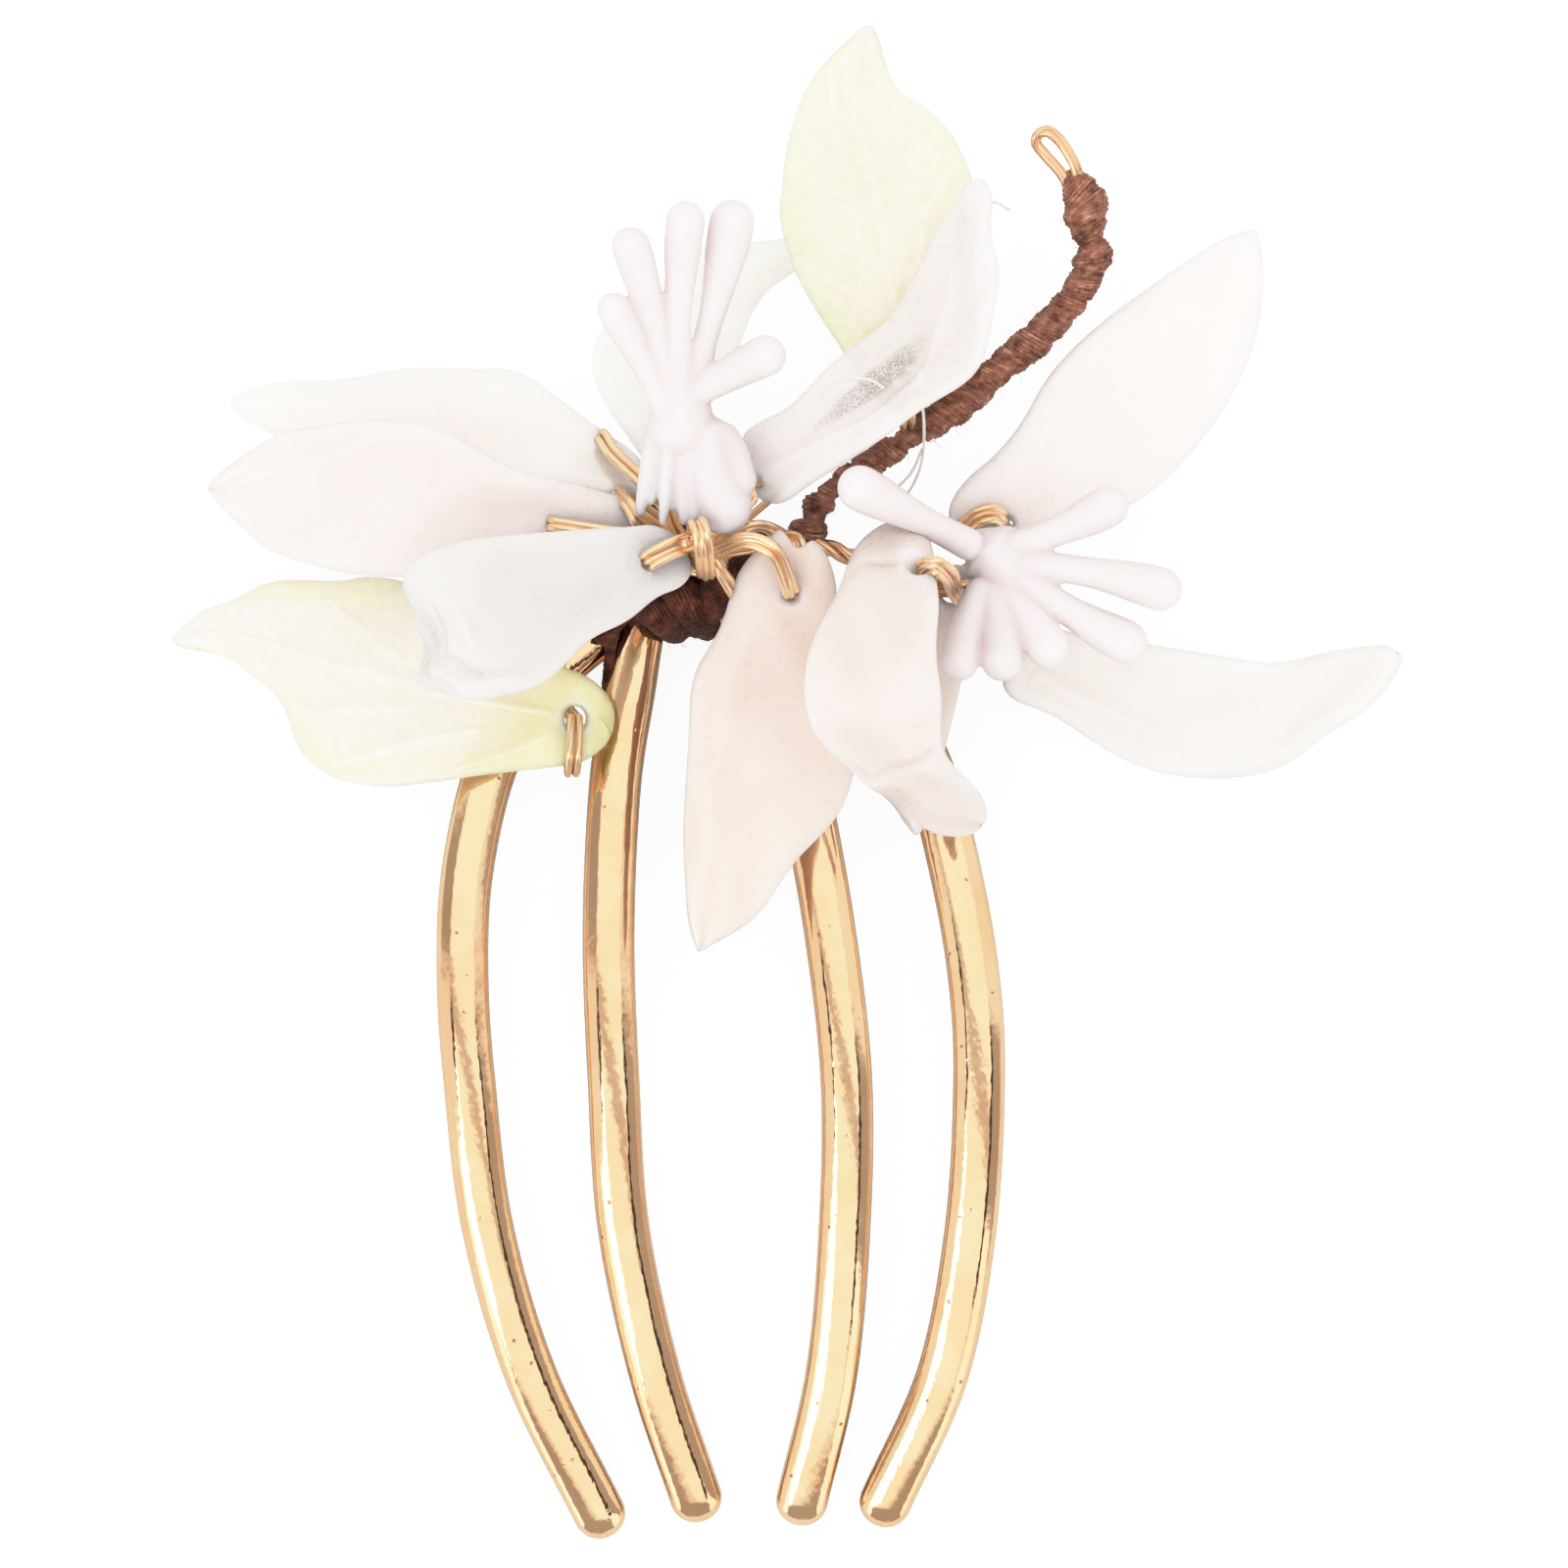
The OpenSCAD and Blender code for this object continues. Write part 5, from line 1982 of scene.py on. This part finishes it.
@dataclass
class Studio:
    """Pale floor, soft light all round, panels and darker gaps that the metal mirrors, and the camera."""

    floor_half: float = 3.0
    floor_tone: Colour = (0.62, 0.62, 0.62)
    floor_glow: float = 0.75
    low_light: float = 1.0
    top_light: float = 2.4
    backdrop: float = 0.93
    white: Colour = (1.0, 0.995, 0.985)
    dusk: Colour = (1.0, 0.86, 0.74)
    band_slope: float = 0.19
    band_shade: float = 0.42
    lamp_place: Number3 = (-0.5, -0.35, 0.8)
    lamp_size: float = 0.35
    lamp_power: float = 0.8
    response: Sequence[Pair] = (
        (0.3, 0.31), (0.5, 0.56), (0.65, 0.75), (0.8, 0.88), (0.95, 0.945), (1.1, 0.975),
    )
    response_white: float = 1.3
    panels: Sequence[Panel] = (
        Panel(-1.0, -0.5, 0.02, 0.32, 0.40, 0.05),
        Panel(0.5, 1.0, -0.3, 0.02, 0.42, 0.04),
        Panel(0.5, 0.98, 0.02, 0.7, 0.85, 0.04),
        Panel(-0.8, -0.56, -0.75, -0.2, 1.3),
        Panel(0.56, 0.9, -0.8, -0.3, 1.1),
        Panel(-0.6, 0.6, -1.0, -0.57, 0.42, 0.03),
        Panel(-0.57, 0.59, -0.40, -0.02, 0.07),
        Panel(-0.46, 0.47, -0.52, 0.76, 1.0),
    )

    def window(self, net: Net, x: Socket, y: Socket, panel: Panel) -> Socket:
        """Share of a direction, given by its x and y, that lies in a panel.

        Args:
            net: the world's node tree.
            x: the direction's x.
            y: its y.
            panel: the panel.

        Returns:
            The share.
        """
        sides = ((x, panel.left, panel.soft), (x, panel.right, -panel.soft),
                 (y, panel.low, panel.soft), (y, panel.high, -panel.soft))
        return net.times(*(net.span(place, edge - soft, edge + soft) for place, edge, soft in sides))

    def floor(self) -> None:
        """Make the floor."""
        mesh = bpy.data.meshes.new("floor")
        s = self.floor_half
        mesh.from_pydata([(-s, -s, 0), (s, -s, 0), (s, s, 0), (-s, s, 0)], [], [(0, 1, 2, 3)])
        floor = place(mesh, "floor")
        material, net, surface = new_material("pale_floor")
        seen = net.node("ShaderNodeLightPath").outputs["Is Camera Ray"]
        net.fill(surface, Base_Color=self.floor_tone, Roughness=0.9, Specular_IOR_Level=0.1,
                 Emission_Color=(1.0, 1.0, 1.0), Emission_Strength=net.times(seen, self.floor_glow))
        mesh.materials.append(material)

    def world(self) -> None:
        """Light all round, stronger overhead, and the panels that only the metal mirrors."""
        world = bpy.data.worlds.new("studio")
        world.use_nodes = True
        bpy.context.scene.world = world
        net = Net(world.node_tree)
        way = net.node("ShaderNodeTexCoord").outputs["Generated"]
        x, y, z = net.node("ShaderNodeSeparateXYZ", Vector=way).outputs
        level = net.span(z, -0.1, 0.1, 0.95, 0.82)
        for panel in self.panels:
            level = net.blend(self.window(net, x, y, panel), level, panel.light, "FLOAT")
        slope = net.math("MULTIPLY_ADD", x, self.band_slope, y)
        band = net.span(net.math("ABSOLUTE", net.math("ADD", slope, 0.1)), 0.06, 0.02)
        across = net.span(net.math("ABSOLUTE", x), 0.5, 0.46)
        shade = net.math("SUBTRACT", 1.0, net.times(band, across, self.band_shade))
        level = net.times(level, shade)
        path = net.node("ShaderNodeLightPath").outputs
        even = net.span(z, 0.86, 0.95, self.low_light, self.top_light)
        strength = net.blend(path["Is Glossy Ray"], even, level, "FLOAT")
        tint = net.blend(level, self.dusk, self.white)
        net.fill(world.node_tree.nodes["Background"],
                 Color=net.blend(path["Is Glossy Ray"], self.white, tint),
                 Strength=net.blend(path["Is Camera Ray"], strength, self.backdrop, "FLOAT"))

    def lamp(self) -> None:
        """Add a square soft light that points at the comb; its place is in metres, its power in watts."""
        data = bpy.data.lights.new("key", "AREA")
        data.shape = "SQUARE"
        data.size = self.lamp_size
        data.energy = self.lamp_power
        lamp = bpy.data.objects.new("key", data)
        lamp.location = self.lamp_place
        away = unit(np.array(self.lamp_place, float))
        lamp.rotation_euler = (math.acos(away[2]), 0, math.atan2(away[0], -away[1]))
        bpy.context.scene.collection.objects.link(lamp)

    def exposure(self) -> None:
        """Give the picture a camera's soft response: bright places run gently into white."""
        view = bpy.context.scene.view_settings
        view.view_transform = "Standard"
        view.look = "None"
        view.use_curve_mapping = True
        mapping = view.curve_mapping
        mapping.white_level = (self.response_white,) * 3
        for light, shown in self.response:
            mapping.curves[3].points.new(light / self.response_white, shown)
        mapping.update()

    def build(self) -> None:
        """Set the stage."""
        self.floor()
        self.world()
        self.lamp()
        VIEW.build()
        self.exposure()
        cycles = bpy.context.scene.cycles
        cycles.caustics_reflective = False
        cycles.caustics_refractive = False


def resins() -> dict[str, Resin]:
    """Resin of each petal, leaf and stamen cluster.

    Returns:
        The resins by piece. The clusters share the one for stamens.
    """
    sandy = Resin("sandy_resin", (0.785, 0.695, 0.66), crackle=0.2,
                  speckles=(Speckle((0.16, -0.1), (0.1, 0.5), 0.05),))
    # The leaves' lip whitens the edges of their holes: painted light.
    leaf = Resin("", (1.0, 1.0, 1.0), clear=0.25, gloss=0.25, uneven=0.06, lip=0.35)
    return {
        # A1 has a lighter body and a larger clear share than the other petals: painted light that offsets
        # the shade it lies in.
        "petal_a1": Resin("shade_offset_bright_resin", (1.0, 0.862, 0.803), clear=0.42,
                          speckles=(Speckle((0.45, 0.0), (0.3, 0.5), 0.12),
                                    Speckle((0.12, 0.2), (0.1, 0.5), 0.16))),
        "petal_a2": Resin("soft_resin", (0.82, 0.73, 0.705)),
        "petal_a3": Resin("cool_resin", (0.73, 0.705, 0.69), crackle=0.45),
        "petal_a4": Resin("frosty_resin", (0.86, 0.80, 0.79), clear=0.34,
                          speckles=(Speckle((0.44, 0.08), (0.2, 0.3), 0.9),)),
        # A5, low and behind the other petals, has a lighter body and a larger clear share: painted light
        # that offsets their shade on it.
        "petal_a5": Resin("shade_offset_pale_resin", (1.0, 0.90, 0.82), clear=0.55),
        "petal_a6": Resin("warm_resin", (0.83, 0.695, 0.635)),
        "petal_b1": Resin("pinkish_resin", (0.985, 0.83, 0.80),
                          speckles=(Speckle((0.1, 0.0), (0.16, 0.6), 0.08),)),
        "petal_b2": Resin("plain_resin", (0.88, 0.815, 0.77)),
        "petal_b3": sandy,
        "petal_b4": sandy,
        "leaf_upper": replace(leaf, name="upper_leaf_resin", body=(0.84, 0.79, 0.655),
                              edge=(0.80, 0.83, 0.57), root=(0.97, 1.0, 0.57)),
        "leaf_lower": replace(leaf, name="lower_leaf_resin", body=(1.0, 0.86, 0.76),
                              edge=(0.90, 0.82, 0.58), root=(0.96, 0.83, 0.48), root_reach=0.42),
        "stamens": Resin("stamen_resin", (0.73, 0.662, 0.667), clear=0.0, gloss=0.42, depth=2.6,
                         polish=0.2, lip=0.0),
    }


def main() -> None:
    """Build every piece in order, then the studio."""
    logging.basicConfig(level=logging.INFO, format="%(name)s: %(message)s")
    tube, winding, fuzz = tube_recipe(), winding_recipe(), fuzz_recipe()
    Comb().build(Plating())
    wire = DrawnWire().build()
    rose = DrawnWire("rose_gold_wire", (0.96, 0.66, 0.44), (0.92, 0.58, 0.38)).build()
    floss = Floss().build()
    # A darker copy of the floss, for the lump: painted shade.
    lump_shade_floss = Floss("shade_painted_floss", (0.03, 0.008, 0.004), (0.14, 0.037, 0.018), (0.32, 0.105, 0.05)).build()
    looks = resins()
    made = {resin: resin.build() for resin in dict.fromkeys(looks.values())}
    finishes = {name: made[resin] for name, resin in looks.items()}
    blades = {**petals(), **leaves()}
    for node, blade in blades.items():
        blade.build(finishes[node], Slot.PETAL if node.startswith("petal") else Slot.LEAF)
    for cluster in stamen_clusters():
        cluster.build(finishes["stamens"])
    Wiring(blades, wire, rose, tube, winding).build()
    Threads(floss, lump_shade_floss, winding, fuzz).build()
    Glue(finishes["stamens"], tube).build()
    Studio().build()
    LOG.info("built")


if __name__ == "__main__":
    main()
